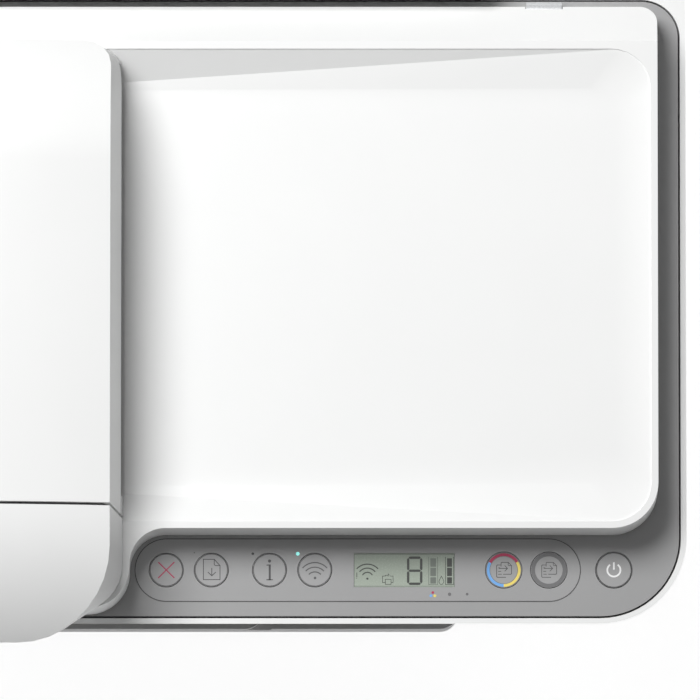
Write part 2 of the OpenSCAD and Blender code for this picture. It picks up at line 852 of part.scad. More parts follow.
module feeder_base() {
    top = feeder_split - 1.2;
    y0 = cover_gap_y + feeder_gap / 2;
    floor_top = feeder_low + cover_wall;
    color("gainsboro")
        difference() {
            union() {
                intersection() {
                    feeder_form(0, y_from = y0);
                    box([-300, y0 - 5, feeder_low - 1], [0, 300, top]);
                }
                // Ears that carry the cover's pins
                for (y = cover_ears) {
                    rod_y(y - 3, y + 3, cover_pin_x, cover_pin_z, 2.1);
                    box([cover_pin_x - 2.1, y - 3, feeder_low], [cover_pin_x + 2.1, y + 3, cover_pin_z]);
                }
                // Plates that carry the roller
                for (y = roller_plate_y)
                    box([feeder_axis_x - 11, y, lid_low + 4], [feeder_axis_x + 11, y + 3, floor_top + 1]);
                for (y = [-24, 21])
                    box([feeder_pick_x - 5, y, feeder_low], [feeder_pick_x + 5, y + 3, feeder_pick_z + 5]);
            }
            // The hollow above the floor, and the mouth at the right
            difference() {
                intersection() {
                    feeder_form(cover_wall, y_from = y0 - 1);
                    box([-300, y0 - 5, floor_top], [0, 300, top + 5]);
                }
                for (y = cover_ears)
                    box([cover_pin_x - 3, y - 3, feeder_low], [cover_pin_x + 2.1, y + 3, cover_pin_z + 5]);
                for (y = [-24, 21])
                    box([feeder_pick_x - 5, y, feeder_low], [feeder_pick_x + 5, y + 3, feeder_pick_z + 5]);
            }
            box([-62, lid_front + 14, feeder_low - 1], [0, feeder_rear - 8, top + 1]);
            box([feeder_axis_x - 18.5, roller_plate_y[0] + 3, feeder_low - 1],
                [feeder_axis_x + 18.5, roller_plate_y[1], top + 1]);
            box([feeder_pick_x - 12, -21, feeder_low - 1], [feeder_pick_x + 12, 21, top + 1]);
            box([feeder_axis_x - 15, y0 - 1, feeder_low - 1], [feeder_axis_x + 15, roller_plate_y[0], top + 1]);
            rod_y(-110, 110, feeder_axis_x, feeder_axis_z, 3 + pin_gap);
            rod_y(-30, 30, feeder_pick_x, feeder_pick_z, 2 + pin_gap);
            for (y = cover_ears)
                rod_y(y - 4, y + 4, cover_pin_x, cover_pin_z, cover_pin_r + pin_gap);
        }
}
feeder_pick_x = -79;
feeder_pick_d = 20;
feeder_pick_z = lid_top_z - 11.5 + 1 + feeder_pick_d / 2;

module feeder_roller() {
    color("darkslategray")
        union() {
            rod_y(roller_plate_y[0] + 3 + run_gap, roller_plate_y[1] - run_gap, feeder_axis_x, feeder_axis_z,
                  feeder_roller_d / 2 - 2.5);
            for (y = [-80:32:80])
                rod_y(y - 10, y + 10, feeder_axis_x, feeder_axis_z, feeder_roller_d / 2);
            rod_y(roller_plate_y[0] + seat_gap, roller_plate_y[1] + 2.8, feeder_axis_x, feeder_axis_z, 3);
        }
}

module feeder_pick_roller() {
    color("darkslategray")
        union() {
            rod_y(-15, 15, feeder_pick_x, feeder_pick_z, feeder_pick_d / 2);
            rod_y(-23.8, 23.8, feeder_pick_x, feeder_pick_z, 2);
            for (s = [-1, 1])
                rod_y(s * 18 - 2.5, s * 18 + 2.5, feeder_pick_x, feeder_pick_z, 4);
        }
}

module feeder_motor() {
    color("silver")
        union() {
            rod_y(roller_plate_y[0] - 28, roller_plate_y[0], feeder_axis_x, feeder_axis_z, 13);
            rod_y(roller_plate_y[0] - 31, roller_plate_y[0] - 27, feeder_axis_x, feeder_axis_z, 5);
        }
}

// ---- Rear paper feed ----
// Places its children on the leaning paper face: y is depth behind it, z runs up along it
module leaning() {
    translate([0, ramp_y, rear_block_z])
        rotate([-support_lean, 0, 0])
            children();
}

ramp_w = rear_block_w - 18;
support_w = ramp_w - 12;
support_back = support_plane + support_t + run_gap;

module rear_ramp() {
    foot_y = ramp_y - ramp_len * sin(support_lean);
    foot_z = rear_block_z - ramp_len * cos(support_lean);
    slot_in = paper_w / 2 - guide_travel - 2;
    slot_out = paper_w / 2 + 3;
    side = ramp_w / 2;
    flange = rear_block_w / 2 - 5.2;
    color("gray") {
        union() {
            leaning()
                difference() {
                    union() {
                        // Back plate with side flanges that reach the walls of the slot
                        translate([0, ramp_t, 0])
                            rotate([90, 0, 0])
                                linear_extrude(ramp_t)
                                    polygon([[-side, -ramp_len], [side, -ramp_len], [side, -26],
                                             [flange, -26], [flange, -2], [side, -2], [side, -1],
                                             [-side, -1], [-side, -2], [-flange, -2],
                                             [-flange, -26], [-side, -26]]);
                        // Channels that hold the sliding support
                        for (s = [-1, 1]) {
                            x0 = support_w / 2 + run_gap;
                            box([min(s * x0, s * (x0 + 2.4)), ramp_t - 0.3, -ramp_len + 6],
                                [max(s * x0, s * (x0 + 2.4)), support_back + 1.6, -12]);
                            box([min(s * (x0 - 4), s * (x0 + 2.4)), support_back, -ramp_len + 6],
                                [max(s * (x0 - 4), s * (x0 + 2.4)), support_back + 1.6, -12]);
                        }
                        translate([0, ramp_t - 0.3, guide_z])
                            rotate([-90, 0, 0])
                                cylinder(r = 2, h = rack_plane + rack_t - ramp_t + 0.3);
                    }
                    // Slots for the feet of the two guides
                    box([-slot_out, -1, guide_z + 9], [-slot_in, ramp_t + 0.5, guide_z + 13.5]);
                    box([slot_in, -1, guide_z - 13.5], [slot_out, ramp_t + 0.5, guide_z - 9]);
                    // Window for the pick roller's separation pad
                    box([-14, -1, -ramp_len + 8], [14, 0.6, -ramp_len + 22]);
                }
            // Ledge the sheets stand on, and its legs
            box([1 - side, foot_y - 9, foot_z - 1.5], [side - 1, foot_y + 1.5, foot_z + 1]);
            for (x = [-100, -34, 32, 98])
                box([x, foot_y - 6, floor_z], [x + 3, foot_y + 1.5, foot_z]);
        }
    }
}

// Half of a gear tooth gap in terms of its angle at radius r, for an involute of the base circle
function involute(r, base) = sqrt(pow(r / base, 2) - 1) * 180 / PI - acos(base / r);
function tooth_half(r, teeth, backlash) = let (pitch = gear_m * teeth / 2, base = pitch * cos(20))
    90 / teeth - backlash / pitch * 90 / PI + involute(pitch, base) - involute(max(r, base), base);

// Involute spur gear, one tooth centred at angle turn
module gear_outline(teeth, turn) {
    pitch = gear_m * teeth / 2;
    root = pitch - 1.25 * gear_m;
    tip = pitch + 0.8 * gear_m;
    backlash = 0.16;
    flank = [root, max(pitch * cos(20) + 0.02, root + 0.05), pitch, tip];
    polygon([for (i = [0:teeth - 1]) let (mid = turn + i * 360 / teeth)
        each concat(
            [for (k = [0:3]) let (a = mid - tooth_half(flank[k], teeth, backlash))
                [flank[k] * cos(a), flank[k] * sin(a)]],
            [for (k = [3:-1:0]) let (a = mid + tooth_half(flank[k], teeth, backlash))
                [flank[k] * cos(a), flank[k] * sin(a)]])]);
}

// Turn of a gear that meshes with one of teeth a at turn ta, seen at angle dir
function mesh_turn(ta, a, b, dir) = dir + 180 + 180 / b + (dir - ta) * a / b;

// Where two circles round p and q meet, to the right of the line from p to q
function meet(p, q, a, b) = let (
    v = q - p, d = norm(v), u = v / d, t = (a * a - b * b + d * d) / (2 * d), h = sqrt(a * a - t * t))
    p + u * t + [u[1], -u[0]] * h;

module rack_teeth(x0, x1) {
    step = PI * gear_m;
    half = step / 4 - 0.08;
    for (i = [ceil(x0 / step):floor(x1 / step)])
        polygon([[i * step - half - 0.455 * gear_m, 1.3 * gear_m], [i * step - half + 0.35 * gear_m, -0.85 * gear_m],
                 [i * step + half - 0.35 * gear_m, -0.85 * gear_m], [i * step + half + 0.455 * gear_m, 1.3 * gear_m]]);
}

// The left guide: fin in front of the ramp, foot through its slot, rack behind it.
// The right one is the same piece turned half a turn about the pinion's axis.
module guide_piece() {
    pitch = gear_m * guide_pinion_teeth / 2;
    x = -paper_w / 2;
    difference() {
        union() {
            translate([0, rack_plane + rack_t, 0])
                rotate([90, 0, 0])
                    linear_extrude(rack_t)
                        translate([0, pitch])
                            union() {
                                translate([x - 2, 1.25 * gear_m])
                                    square([-x + 12, 4]);
                                rack_teeth(-guide_travel - 6, 10);
                            }
            box([x - 2, -0.5, pitch + 1.9], [x + 1, rack_plane + eps, pitch + 5]);
        }
    }
}

module guide_fin_plate(s) {
    x = s * paper_w / 2;
    box([min(x, x + 2 * s), -guide_fin, -58], [max(x, x + 2 * s), -run_gap, -4]);
}

module paper_guide_left() {
    color("dimgray")
        leaning()
            union() {
                translate([0, 0, guide_z])
                    guide_piece();
                guide_fin_plate(-1);
            }
}

module paper_guide_right() {
    color("dimgray")
        leaning()
            union() {
                translate([0, 0, guide_z])
                    rotate([0, 180, 0])
                        guide_piece();
                guide_fin_plate(1);
            }
}

module guide_pinion() {
    color("white")
        leaning()
            translate([0, rack_plane + rack_t, guide_z])
                rotate([90, 0, 0])
                    difference() {
                        linear_extrude(rack_t)
                            gear_outline(guide_pinion_teeth, 90 + 180 / guide_pinion_teeth);
                        translate([0, 0, -1])
                            cylinder(r = 2 + pin_gap, h = rack_t + 2);
                    }
}

module paper_support() {
    color("dimgray")
        leaning()
            difference() {
                box([-support_w / 2, support_plane, -support_len],
                    [support_w / 2, support_plane + support_t, -0.8]);
                // Finger notch
                translate([0, support_plane - 1, 4])
                    rotate([-90, 0, 0])
                        cylinder(r = 17, h = support_t + 2);
                // Shallow channels that stiffen the plate
                for (x = [-90:30:90])
                    box([x - 4, support_plane + support_t - 0.6, -support_len + 12],
                        [x + 4, support_plane + support_t + 1, -24]);
            }
}

// ---- Output tray and access door ----
tray_front = front_y(tray_z - tray_t / 2) - 8.6;
tray_corner = 8.3;
arm_x = -tray_w / 2 + 30;
arm_y = tray_front + 8.5;
arm_len = 96;
arm_w = 17;
arm_t = 3;

module output_tray() {
    color("gainsboro")
        difference() {
            translate([0, 0, tray_z - tray_t])
                linear_extrude(tray_t)
                    plate_outline(-tray_w / 2, tray_front, tray_w / 2, tray_front + tray_d,
                                  [tray_corner, tray_corner, 2, 2]);
            // Hollow underside
            for (i = [0:3])
                box([-tray_w / 2 + 3 + i * (tray_w - 3) / 4, tray_front + 12, tray_z - tray_t - 1],
                    [-tray_w / 2 + (i + 1) * (tray_w - 3) / 4, tray_front + tray_d - 3, tray_z - arm_t - 3.2]);
            // Recess for the arm
            translate([arm_x, arm_y, tray_z - arm_t - 0.4])
                cylinder(r = arm_w / 2 + 0.6, h = arm_t + 1);
            box([arm_x, arm_y - arm_w / 2 - 0.6, tray_z - arm_t - 0.4],
                [arm_x + arm_len + 12, arm_y + arm_w / 2 + 0.6, tray_z + 1]);
            box([arm_x - arm_w / 2 - 0.6, tray_front - 1, tray_z - arm_t - 0.4],
                [arm_x + arm_w / 2 + 0.6, arm_y, tray_z + 1]);
            box([arm_x, tray_front - 1, tray_z - arm_t - 0.4],
                [arm_x + arm_len + 12, arm_y, tray_z + 1]);
            translate([arm_x, arm_y, tray_z - arm_t - 2.4])
                cylinder(r = 3 + pin_gap, h = 6);
        }
}

module tray_arm() {
    color("gainsboro")
        translate([arm_x, arm_y, 0])
            difference() {
                union() {
                    translate([0, 0, tray_z - arm_t - 0.1])
                        linear_extrude(arm_t)
                            union() {
                                circle(arm_w / 2);
                                translate([0, -arm_w / 2])
                                    square([arm_len, arm_w]);
                                translate([arm_len, 0])
                                    circle(arm_w / 2);
                            }
                    translate([0, 0, tray_z - arm_t - 2.1])
                        cylinder(r = 3, h = 2.2);
                }
                // Window in the arm
                box([18, -4, tray_z - arm_t - 1], [arm_len - 10, 4, tray_z + 1]);
            }
}

module access_door() {
    gap = run_gap;
    low = door_z + gap;
    slope = (front_y(door_top_z) - front_y(door_z)) / (door_top_z - door_z);
    t = 2.2;
    knuckle_x = mouth_w / 2 - 9;
    color("white")
        union() {
            along_x(-mouth_w / 2 + gap, mouth_w - 2 * gap)
                polygon([[front_y(low), low], [front_y(low) + t, low],
                         [front_y(door_top_z) + t, door_top_z], [front_y(door_top_z), door_top_z]]);
            // Stiffening ribs and the lip along the top
            for (x = [-80:40:80])
                along_x(x - 1, 2)
                    polygon([[front_y(low) + 1, low], [front_y(low) + 6, low + 4],
                             [front_y(door_top_z) + 5, door_top_z - 12],
                             [front_y(door_top_z) + 1, door_top_z - 6]]);
            for (s = [-1, 1]) {
                x0 = s * knuckle_x;
                rod_x(min(x0, x0 + s * 8.4), max(x0, x0 + s * 8.4), door_axis_y, door_axis_z, 3.6);
                box([min(x0, x0 + s * 8.4), front_y(door_axis_z) + 1, door_axis_z - 3.6],
                    [max(x0, x0 + s * 8.4), door_axis_y, door_axis_z + 3.6]);
                rod_x(min(x0, x0 + s * 12.6), max(x0, x0 + s * 12.6), door_axis_y, door_axis_z, door_pin_r);
            }
        }
}

// ---- Paper drive ----
pick_low = -94;
pick_y = ramp_y + pick_low * sin(support_lean) - (pick_roller_d / 2 + pick_gap) * cos(support_lean);
pick_z = rear_block_z + pick_low * cos(support_lean) + (pick_roller_d / 2 + pick_gap) * sin(support_lean);
feed_at = [feed_y, feed_z];
exit_at = [exit_y, exit_z];
pick_at = [pick_y, pick_z];
pinion_dir = 60;
pinion_at = feed_at + gear_m * (feed_teeth + pinion_teeth) / 2 * [cos(pinion_dir), sin(pinion_dir)];
exit_idler_at = meet(exit_at, feed_at, gear_m * (exit_teeth + exit_idler_teeth) / 2,
                     gear_m * (feed_teeth + exit_idler_teeth) / 2);
pick_idler_at = meet(feed_at, pick_at, gear_m * (feed_teeth + pick_idler_teeth) / 2,
                     gear_m * (pick_teeth + pick_idler_teeth) / 2);
stud_r = 2;

function dir_of(p, q) = atan2(q[1] - p[1], q[0] - p[0]);
exit_idler_turn = mesh_turn(0, feed_teeth, exit_idler_teeth, dir_of(feed_at, exit_idler_at));
exit_turn = mesh_turn(exit_idler_turn, exit_idler_teeth, exit_teeth, dir_of(exit_idler_at, exit_at));
pick_idler_turn = mesh_turn(0, feed_teeth, pick_idler_teeth, dir_of(feed_at, pick_idler_at));
pick_turn = mesh_turn(pick_idler_turn, pick_idler_teeth, pick_teeth, dir_of(pick_idler_at, pick_at));

module side_plates() {
    back = rail_y + rail_t + seat_gap;
    color("silver")
        difference() {
            union() {
                for (x = [left_plate, right_plate])
                    along_x(x, plate_t)
                        polygon([[-12, floor_z], [-12, paper_z - 1], [back, paper_z - 1], [back, rail_top - 1],
                                 [back + 14, rail_top - 1], [back + 30, pick_z + 12], [pick_y + 12, pick_z + 12],
                                 [pick_y + 12, floor_z]]);
                for (p = [exit_idler_at, pick_idler_at])
                    rod_x(gear_x - 0.5, left_plate + eps, p[0], p[1], stud_r);
            }
            for (p = [feed_at, exit_at, pick_at])
                rod_x(left_plate - 1, right_plate + plate_t + 1, p[0], p[1], shaft_d / 2 + pin_gap);
            rod_x(left_plate - 1, left_plate + plate_t + 1, pinion_at[0], pinion_at[1], 1.5 + pin_gap);
            // Windows that lighten the plates
            for (y = [-4, 20])
                box([left_plate - 1, y, floor_z + 4], [right_plate + plate_t + 1, y + 16, floor_z + 14]);
        }
}

module shaft(p, x0) {
    rod_x(x0, right_plate + plate_t + 1, p[0], p[1], shaft_d / 2);
}

module feed_roller() {
    r = feed_roller_d / 2;
    color("dimgray")
        union() {
            shaft(feed_at, pinion_x - 1);
            for (x = [-96:48:96])
                rod_x(x - 16, x + 16, feed_at[0], feed_at[1], r);
            rod_x(-112, 112, feed_at[0], feed_at[1], r - 1);
            along_x(pinion_x, gear_x + gear_face - pinion_x)
                translate(feed_at)
                    gear_outline(feed_teeth, 0);
        }
}

module exit_roller() {
    r = exit_roller_d / 2;
    color("dimgray")
        union() {
            shaft(exit_at, gear_x - 1);
            for (x = [-90:36:90])
                rod_x(x - 5, x + 5, exit_at[0], exit_at[1], r);
            along_x(gear_x, gear_face)
                translate(exit_at)
                    gear_outline(exit_teeth, exit_turn);
        }
}

module pick_roller() {
    r = pick_roller_d / 2;
    color("dimgray")
        union() {
            shaft(pick_at, gear_x - 1);
            for (s = [-1, 1])
                rod_x(s * 22 - 12, s * 22 + 12, pick_at[0], pick_at[1], r);
            along_x(gear_x, gear_face)
                translate(pick_at)
                    gear_outline(pick_teeth, pick_turn);
        }
}

module idler(p, teeth, turn) {
    color("white")
        difference() {
            along_x(gear_x, gear_face)
                translate(p)
                    gear_outline(teeth, turn);
            rod_x(gear_x - 1, gear_x + gear_face + 1, p[0], p[1], stud_r + pin_gap);
        }
}

module exit_idler() { idler(exit_idler_at, exit_idler_teeth, exit_idler_turn); }
module pick_idler() { idler(pick_idler_at, pick_idler_teeth, pick_idler_turn); }

module motor_pinion() {
    color("goldenrod")
        union() {
            along_x(pinion_x, gear_face)
                translate(pinion_at)
                    gear_outline(pinion_teeth, mesh_turn(0, feed_teeth, pinion_teeth, pinion_dir));
            rod_x(pinion_x - 0.5, left_plate + plate_t - seat_gap, pinion_at[0], pinion_at[1], 1.5);
        }
}

module feed_motor() {
    color("silver")
        union() {
            rod_x(left_plate + plate_t, left_plate + plate_t + 26, pinion_at[0], pinion_at[1], 13.5);
            rod_x(left_plate + plate_t + 25, left_plate + plate_t + 29, pinion_at[0], pinion_at[1], 5);
        }
}

// Ribbed bed under the print head
module platen() {
    x0 = left_plate + plate_t + seat_gap;
    x1 = right_plate - seat_gap;
    y0 = exit_y + exit_roller_d / 2 + 2.5;
    y1 = feed_y - feed_roller_d / 2 - 1.5;
    color("black")
        union() {
            box([x0, y0, paper_z - 6], [x1, y1, paper_z - 3]);
            for (x = [-108:12:108])
                box([x - 0.7, y0, paper_z - 3 - eps], [x + 0.7, y1, paper_z - 0.2]);
            for (y = [y0, y1 - 2])
                box([x0, y, paper_z - 10], [x1, y + 2, paper_z - 3]);
            for (x = [-150, 106])
                box([x, y0, floor_z], [x + 4, y1, paper_z - 5]);
        }
}

// ---- Print head ----
bay_x = 18.5;
bay_w = cartridge_w + 1;
bay_floor = head_low + 14.5;
snout_front = 16;
snout_back = 46;

module carriage() {
    x0 = carriage_x - carriage_w / 2;
    x1 = carriage_x + carriage_w / 2;
    color("black")
        difference() {
            union() {
                box([x0, carriage_front, bay_floor - 2], [x1, carriage_back, carriage_top]);
                box([x0, snout_front, head_low], [x1, snout_back, bay_floor]);
                // Shoe that rides on the rail's lip
                box([x0 + 8, carriage_back - 3, ledge_z + rail_t + 0.4], [x1 - 8, belt_y + 3.5, belt_z - 8]);
                // Belt clamp and encoder reader
                box([carriage_x - 8, carriage_back - 1, belt_z - pulley_r + 0.2],
                    [carriage_x + 8, belt_y + belt_w - 0.4, belt_z - 2]);
                box([carriage_x - 6, carriage_back - 3, strip_z - 1],
                    [carriage_x + 6, strip_y + 2, strip_z + 5.5]);
            }
            for (s = [-1, 1]) {
                x = carriage_x + s * bay_x;
                box([x - bay_w / 2, carriage_front + 2, bay_floor], [x + bay_w / 2, carriage_back - 2, 120]);
                box([x - bay_w / 2, snout_front + 2, head_low - 1], [x + bay_w / 2, snout_back - 2, bay_floor + 1]);
                box([x - 10, carriage_front - 1, bay_floor + 10], [x + 10, carriage_front + 3, 120]);
            }
            box([x0 - 1, lip_y - 0.4, ledge_z], [x1 + 1, lip_y + rail_t + 0.4, lip_top + 0.4]);
            box([x0 - 1, strip_y - 0.4, strip_z - 0.4], [x1 + 1, strip_y + 0.8, strip_z + 20]);
        }
}
lip_top = ledge_z + 6;
strip_y = 50.2;
strip_z = 86;

module cartridge(s) {
    x = carriage_x + s * bay_x;
    half = cartridge_w / 2;
    union() {
        box([x - half, carriage_front + 2.5, bay_floor + seat_gap],
            [x + half, carriage_back - 2.5, carriage_top + 1.5]);
        box([x - half, snout_front + 2.5, head_low + run_gap], [x + half, snout_back - 2.5, bay_floor + 1]);
        // Grip ridge on the front of the top
        for (i = [0:3])
            box([x - half + 5, carriage_front + 4 + i * 2.5, carriage_top + 1],
                [x + half - 5, carriage_front + 5.2 + i * 2.5, carriage_top + 2.3]);
    }
}
module cartridge_color() { color("dimgray") cartridge(-1); }
module cartridge_black() { color("black") cartridge(1); }

module carriage_rail() {
    x0 = pulley_left - 12;
    x1 = pulley_right + 8;
    color("silver")
        difference() {
            union() {
                along_x(x0, x1 - x0)
                    polygon([[lip_y, ledge_z], [rail_y, ledge_z], [rail_y, rail_low], [rail_y + rail_t, rail_low],
                             [rail_y + rail_t, rail_top], [rail_y, rail_top], [rail_y, ledge_z + rail_t],
                             [lip_y + rail_t, ledge_z + rail_t], [lip_y + rail_t, lip_top], [lip_y, lip_top]]);
                rod_y(belt_y - 0.8, rail_y + eps, pulley_right, belt_z, 2);
            }
            rod_y(rail_y - 1, rail_y + rail_t + 1, pulley_left, belt_z, 2.2);
            for (x = [-140:40:100])
                box([x - 9, rail_y - 1, belt_z - 6], [x + 9, rail_y + rail_t + 1, belt_z + 6]);
        }
}

module encoder_strip() {
    x0 = pulley_left - 8;
    x1 = pulley_right + 4;
    color("lightgray")
        union() {
            box([x0, strip_y, strip_z], [x1, strip_y + 0.4, strip_z + 5]);
            for (x = [x0, x1 - 3])
                box([x, strip_y, strip_z], [x + 3, rail_y - seat_gap, strip_z + 5]);
        }
}

module belt_loop(r) {
    union() {
        for (x = [pulley_left, pulley_right])
            translate([x, belt_z])
                circle(r, $fn = fine);
        translate([pulley_left, belt_z - r])
            square([pulley_right - pulley_left, 2 * r]);
    }
}

module drive_belt() {
    color("black")
        translate([0, belt_y + belt_w - 0.2, 0])
            rotate([90, 0, 0])
                linear_extrude(belt_w - 0.4)
                    difference() {
                        belt_loop(pulley_r + 0.1 + belt_t);
                        belt_loop(pulley_r + 0.1);
                    }
}

module carriage_motor() {
    face = rail_y + rail_t + seat_gap;
    color("silver")
        union() {
            rod_y(face, face + 28, pulley_left, belt_z, 11.5);
            rod_y(face + 27, face + 31, pulley_left, belt_z, 4);
        }
}

module pulley(x) {
    rod_y(belt_y - 0.2, belt_y + belt_w + 0.2, x, belt_z, pulley_r);
    for (y = [belt_y - 0.8, belt_y + belt_w])
        rod_y(y, y + 0.6, x, belt_z, pulley_r + 1.6);
}

module motor_pulley() {
    color("gold")
        union() {
            pulley(pulley_left);
            rod_y(belt_y, rail_y + rail_t, pulley_left, belt_z, 1.5);
        }
}

module idler_pulley() {
    color("gold")
        difference() {
            pulley(pulley_right);
            rod_y(belt_y - 2, belt_y + belt_w + 2, pulley_right, belt_z, 2 + pin_gap);
        }
}

service_x0 = carriage_x - 18;
service_x1 = carriage_x + 42;
service_y0 = 8;
service_y1 = 54;

module service_base() {
    color("dimgray")
        difference() {
            box([service_x0, service_y0, floor_z], [service_x1, service_y1, paper_z - 8]);
            box([service_x0 + 2, service_y0 + 2, floor_z + 2], [service_x1 - 2, service_y1 - 2, paper_z]);
        }
}

module service_sled() {
    gap = 2 + run_gap;
    x0 = service_x0 + gap;
    color("black")
        difference() {
            union() {
                box([x0, service_y0 + gap, paper_z - 16],
                    [service_x1 - gap, service_y1 - gap, paper_z - 6]);
                // Two rubber caps under the print head, the first one cut short beside the side plate
                for (s = [-1, 1])
                    box([max(carriage_x + s * bay_x - 9, x0), snout_front + 5, paper_z - 6 - eps],
                        [carriage_x + s * bay_x + 9, snout_back - 5, head_low - run_gap]);
            }
            for (s = [-1, 1])
                box([max(carriage_x + s * bay_x - 7, x0 + 1.5), snout_front + 7, paper_z - 2],
                    [carriage_x + s * bay_x + 7, snout_back - 7, head_low + 1]);
        }
}

// ---- Electrics ----
module main_board() {
    x0 = usb_x - 50;
    y0 = 127;
    z = usb_z - usb_h / 2 - 1.6;
    y1 = rear_y(usb_z) - 5;
    color("darkgreen")
        union() {
            box([x0, y0, z], [x0 + 100, y1, z + 1.6]);
            for (x = [x0 + 4, x0 + 96], y = [y0 + 4, y1 - 4])
                translate([x, y, floor_z])
                    cylinder(d = 5, h = z - floor_z + eps);
            box([usb_x - usb_w / 2, socket_y - 16, usb_z - usb_h / 2 - eps],
                [usb_x + usb_w / 2, socket_y, usb_z + usb_h / 2]);
            for (i = [0:4])
                box([x0 + 8 + i * 8, y0 + 8, z + 1.5], [x0 + 14 + i * 8, y0 + 16, z + 4 + i % 2 * 2]);
            box([usb_x + 14, y0 + 6, z + 1.5], [usb_x + 34, y0 + 22, z + 3.4]);
        }
}

module power_unit() {
    color("black")
        difference() {
            union() {
                box([132, 102, floor_z], [178, rear_y(inlet_z) - 4, 34]);
                box([inlet_x - inlet_w / 2, 140, inlet_z - inlet_h / 2],
                    [inlet_x + inlet_w / 2, socket_y, inlet_z + inlet_h / 2]);
            }
            // Two-pin socket: two lobes round the pins
            for (s = [-1, 1])
                rod_y(socket_y - 12, socket_y + 1, inlet_x + s * 4.3, inlet_z, 4.4);
            for (i = [0:4])
                box([138 + i * 8, 110, 32], [142 + i * 8, 150, 35]);
        }
    color("silver")
        for (s = [-1, 1])
            rod_y(socket_y - 12, socket_y - 2, inlet_x + s * 4.3, inlet_z, 1.2);
}

module screws() {
    color("darkgray") {
        for (x = [-185, 185], y = [-70, 135])
            translate([x, y, seam_z - 13])
                difference() {
                    cylinder(d = 4.6, h = 4);
                    translate([0, 0, -eps])
                        cylinder(d = 2.2, h = 1.6, $fn = 6);
                }
        for (x = [left_plate, right_plate])
            rod_y(rail_y - 1.6, rail_y, x + plate_t / 2, rail_top - 3, 2.5);
    }
}

base_tray();
rubber_feet();
housing();
rear_ramp();
scanner_frame();
scan_glass();
strip_glass();
scan_rail();
scan_bar();
control_overlay();
display();
control_board();
key_cancel();
key_resume();
key_info();
key_wireless();
key_color();
key_black();
key_power();
lid_shell();
lid_pad();
lid_brackets();
lid_hinges();
feeder_base();
feeder_nose();
feeder_cover();
feeder_roller();
feeder_pick_roller();
feeder_motor();
paper_support();
paper_guide_left();
paper_guide_right();
guide_pinion();
output_tray();
tray_arm();
access_door();
side_plates();
platen();
feed_roller();
exit_roller();
pick_roller();
exit_idler();
pick_idler();
motor_pinion();
feed_motor();
carriage();
cartridge_color();
cartridge_black();
carriage_rail();
encoder_strip();
drive_belt();
carriage_motor();
motor_pulley();
idler_pulley();
service_base();
service_sled();
main_board();
power_unit();
screws();
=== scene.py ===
import json
import math

import bmesh
import bpy
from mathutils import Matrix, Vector

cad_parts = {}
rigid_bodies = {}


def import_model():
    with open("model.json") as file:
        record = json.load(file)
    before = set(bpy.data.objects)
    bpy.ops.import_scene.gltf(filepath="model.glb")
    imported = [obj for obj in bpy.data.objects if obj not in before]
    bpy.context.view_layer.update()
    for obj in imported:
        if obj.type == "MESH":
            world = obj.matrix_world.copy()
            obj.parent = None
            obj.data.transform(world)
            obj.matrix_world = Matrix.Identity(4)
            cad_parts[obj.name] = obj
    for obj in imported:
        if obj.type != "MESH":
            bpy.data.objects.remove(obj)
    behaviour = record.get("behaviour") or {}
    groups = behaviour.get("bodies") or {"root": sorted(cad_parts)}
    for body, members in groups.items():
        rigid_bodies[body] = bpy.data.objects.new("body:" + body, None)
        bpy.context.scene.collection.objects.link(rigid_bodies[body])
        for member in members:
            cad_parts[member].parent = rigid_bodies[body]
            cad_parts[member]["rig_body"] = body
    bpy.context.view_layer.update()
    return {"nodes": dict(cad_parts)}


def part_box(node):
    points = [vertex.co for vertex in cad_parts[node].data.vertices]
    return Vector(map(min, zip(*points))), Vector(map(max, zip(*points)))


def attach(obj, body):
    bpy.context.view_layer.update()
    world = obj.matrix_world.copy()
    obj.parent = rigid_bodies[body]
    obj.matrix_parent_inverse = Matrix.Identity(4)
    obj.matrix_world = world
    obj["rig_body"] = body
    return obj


MM = 0.001

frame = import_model()
NODES = frame["nodes"]

# ---- The photograph's view ----
# Millimetres in one of its pixels, and pixels along a side
PIXEL = 0.45
VIEW_SIDE = 700
ELEVATION = math.radians(81.4)
# The point in the middle of the view, in metres
LOOK_AT = (0.06235, -0.0298, 0.15)
# Where the view's left edge lies, in mm
LEFT_EDGE = LOOK_AT[0] / MM - VIEW_SIDE * PIXEL / 2
# A row of pixels near the panel, and how high in the view it lies, in mm
BASE_ROW = 624
BASE_RISE = -130.31


# ---- Where the panel's parts are, in millimetres, from the frame ----
def middle(node):
    """Middle of a node seen from above, to a hundredth of a millimetre."""
    low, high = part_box(node)
    return tuple(round((low[axis] + high[axis]) / 2 / MM, 2) for axis in (0, 1))


def top(node):
    return round(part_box(node)[1].z / MM, 2)


PLAIN_KEYS = ("key_cancel", "key_resume", "key_info", "key_wireless")
COPY_KEYS = ("key_color", "key_black")
KEY_TOP = top("key_cancel")
PANEL_TOP = top("control_overlay")
LCD_TOP = top("display")
LCD_MIDDLE = middle("display")
# Thickness of a printed mark, and how much higher a mark lies that crosses another
MARK_T = 0.03
OVER = 0.005

# ---- Materials ----
# Sockets of Blender's colour mix
MIX_FACTOR, MIX_A, MIX_B, MIX_RESULT = 0, 6, 7, 2
# The part of a noise's range that nearly all of its values are in
NOISE_LOW, NOISE_HIGH = 0.3, 0.7
CLOUD_SCALE = 22
RELIEF_DEPTH = 0.05 * MM
FILM_GRAIN = 3000


def new_material(name):
    mat = bpy.data.materials.new(name)
    mat.use_nodes = True
    tree = mat.node_tree
    tree.nodes.clear()
    out = tree.nodes.new("ShaderNodeOutputMaterial")
    bsdf = tree.nodes.new("ShaderNodeBsdfPrincipled")
    tree.links.new(bsdf.outputs["BSDF"], out.inputs["Surface"])
    return mat, tree, bsdf


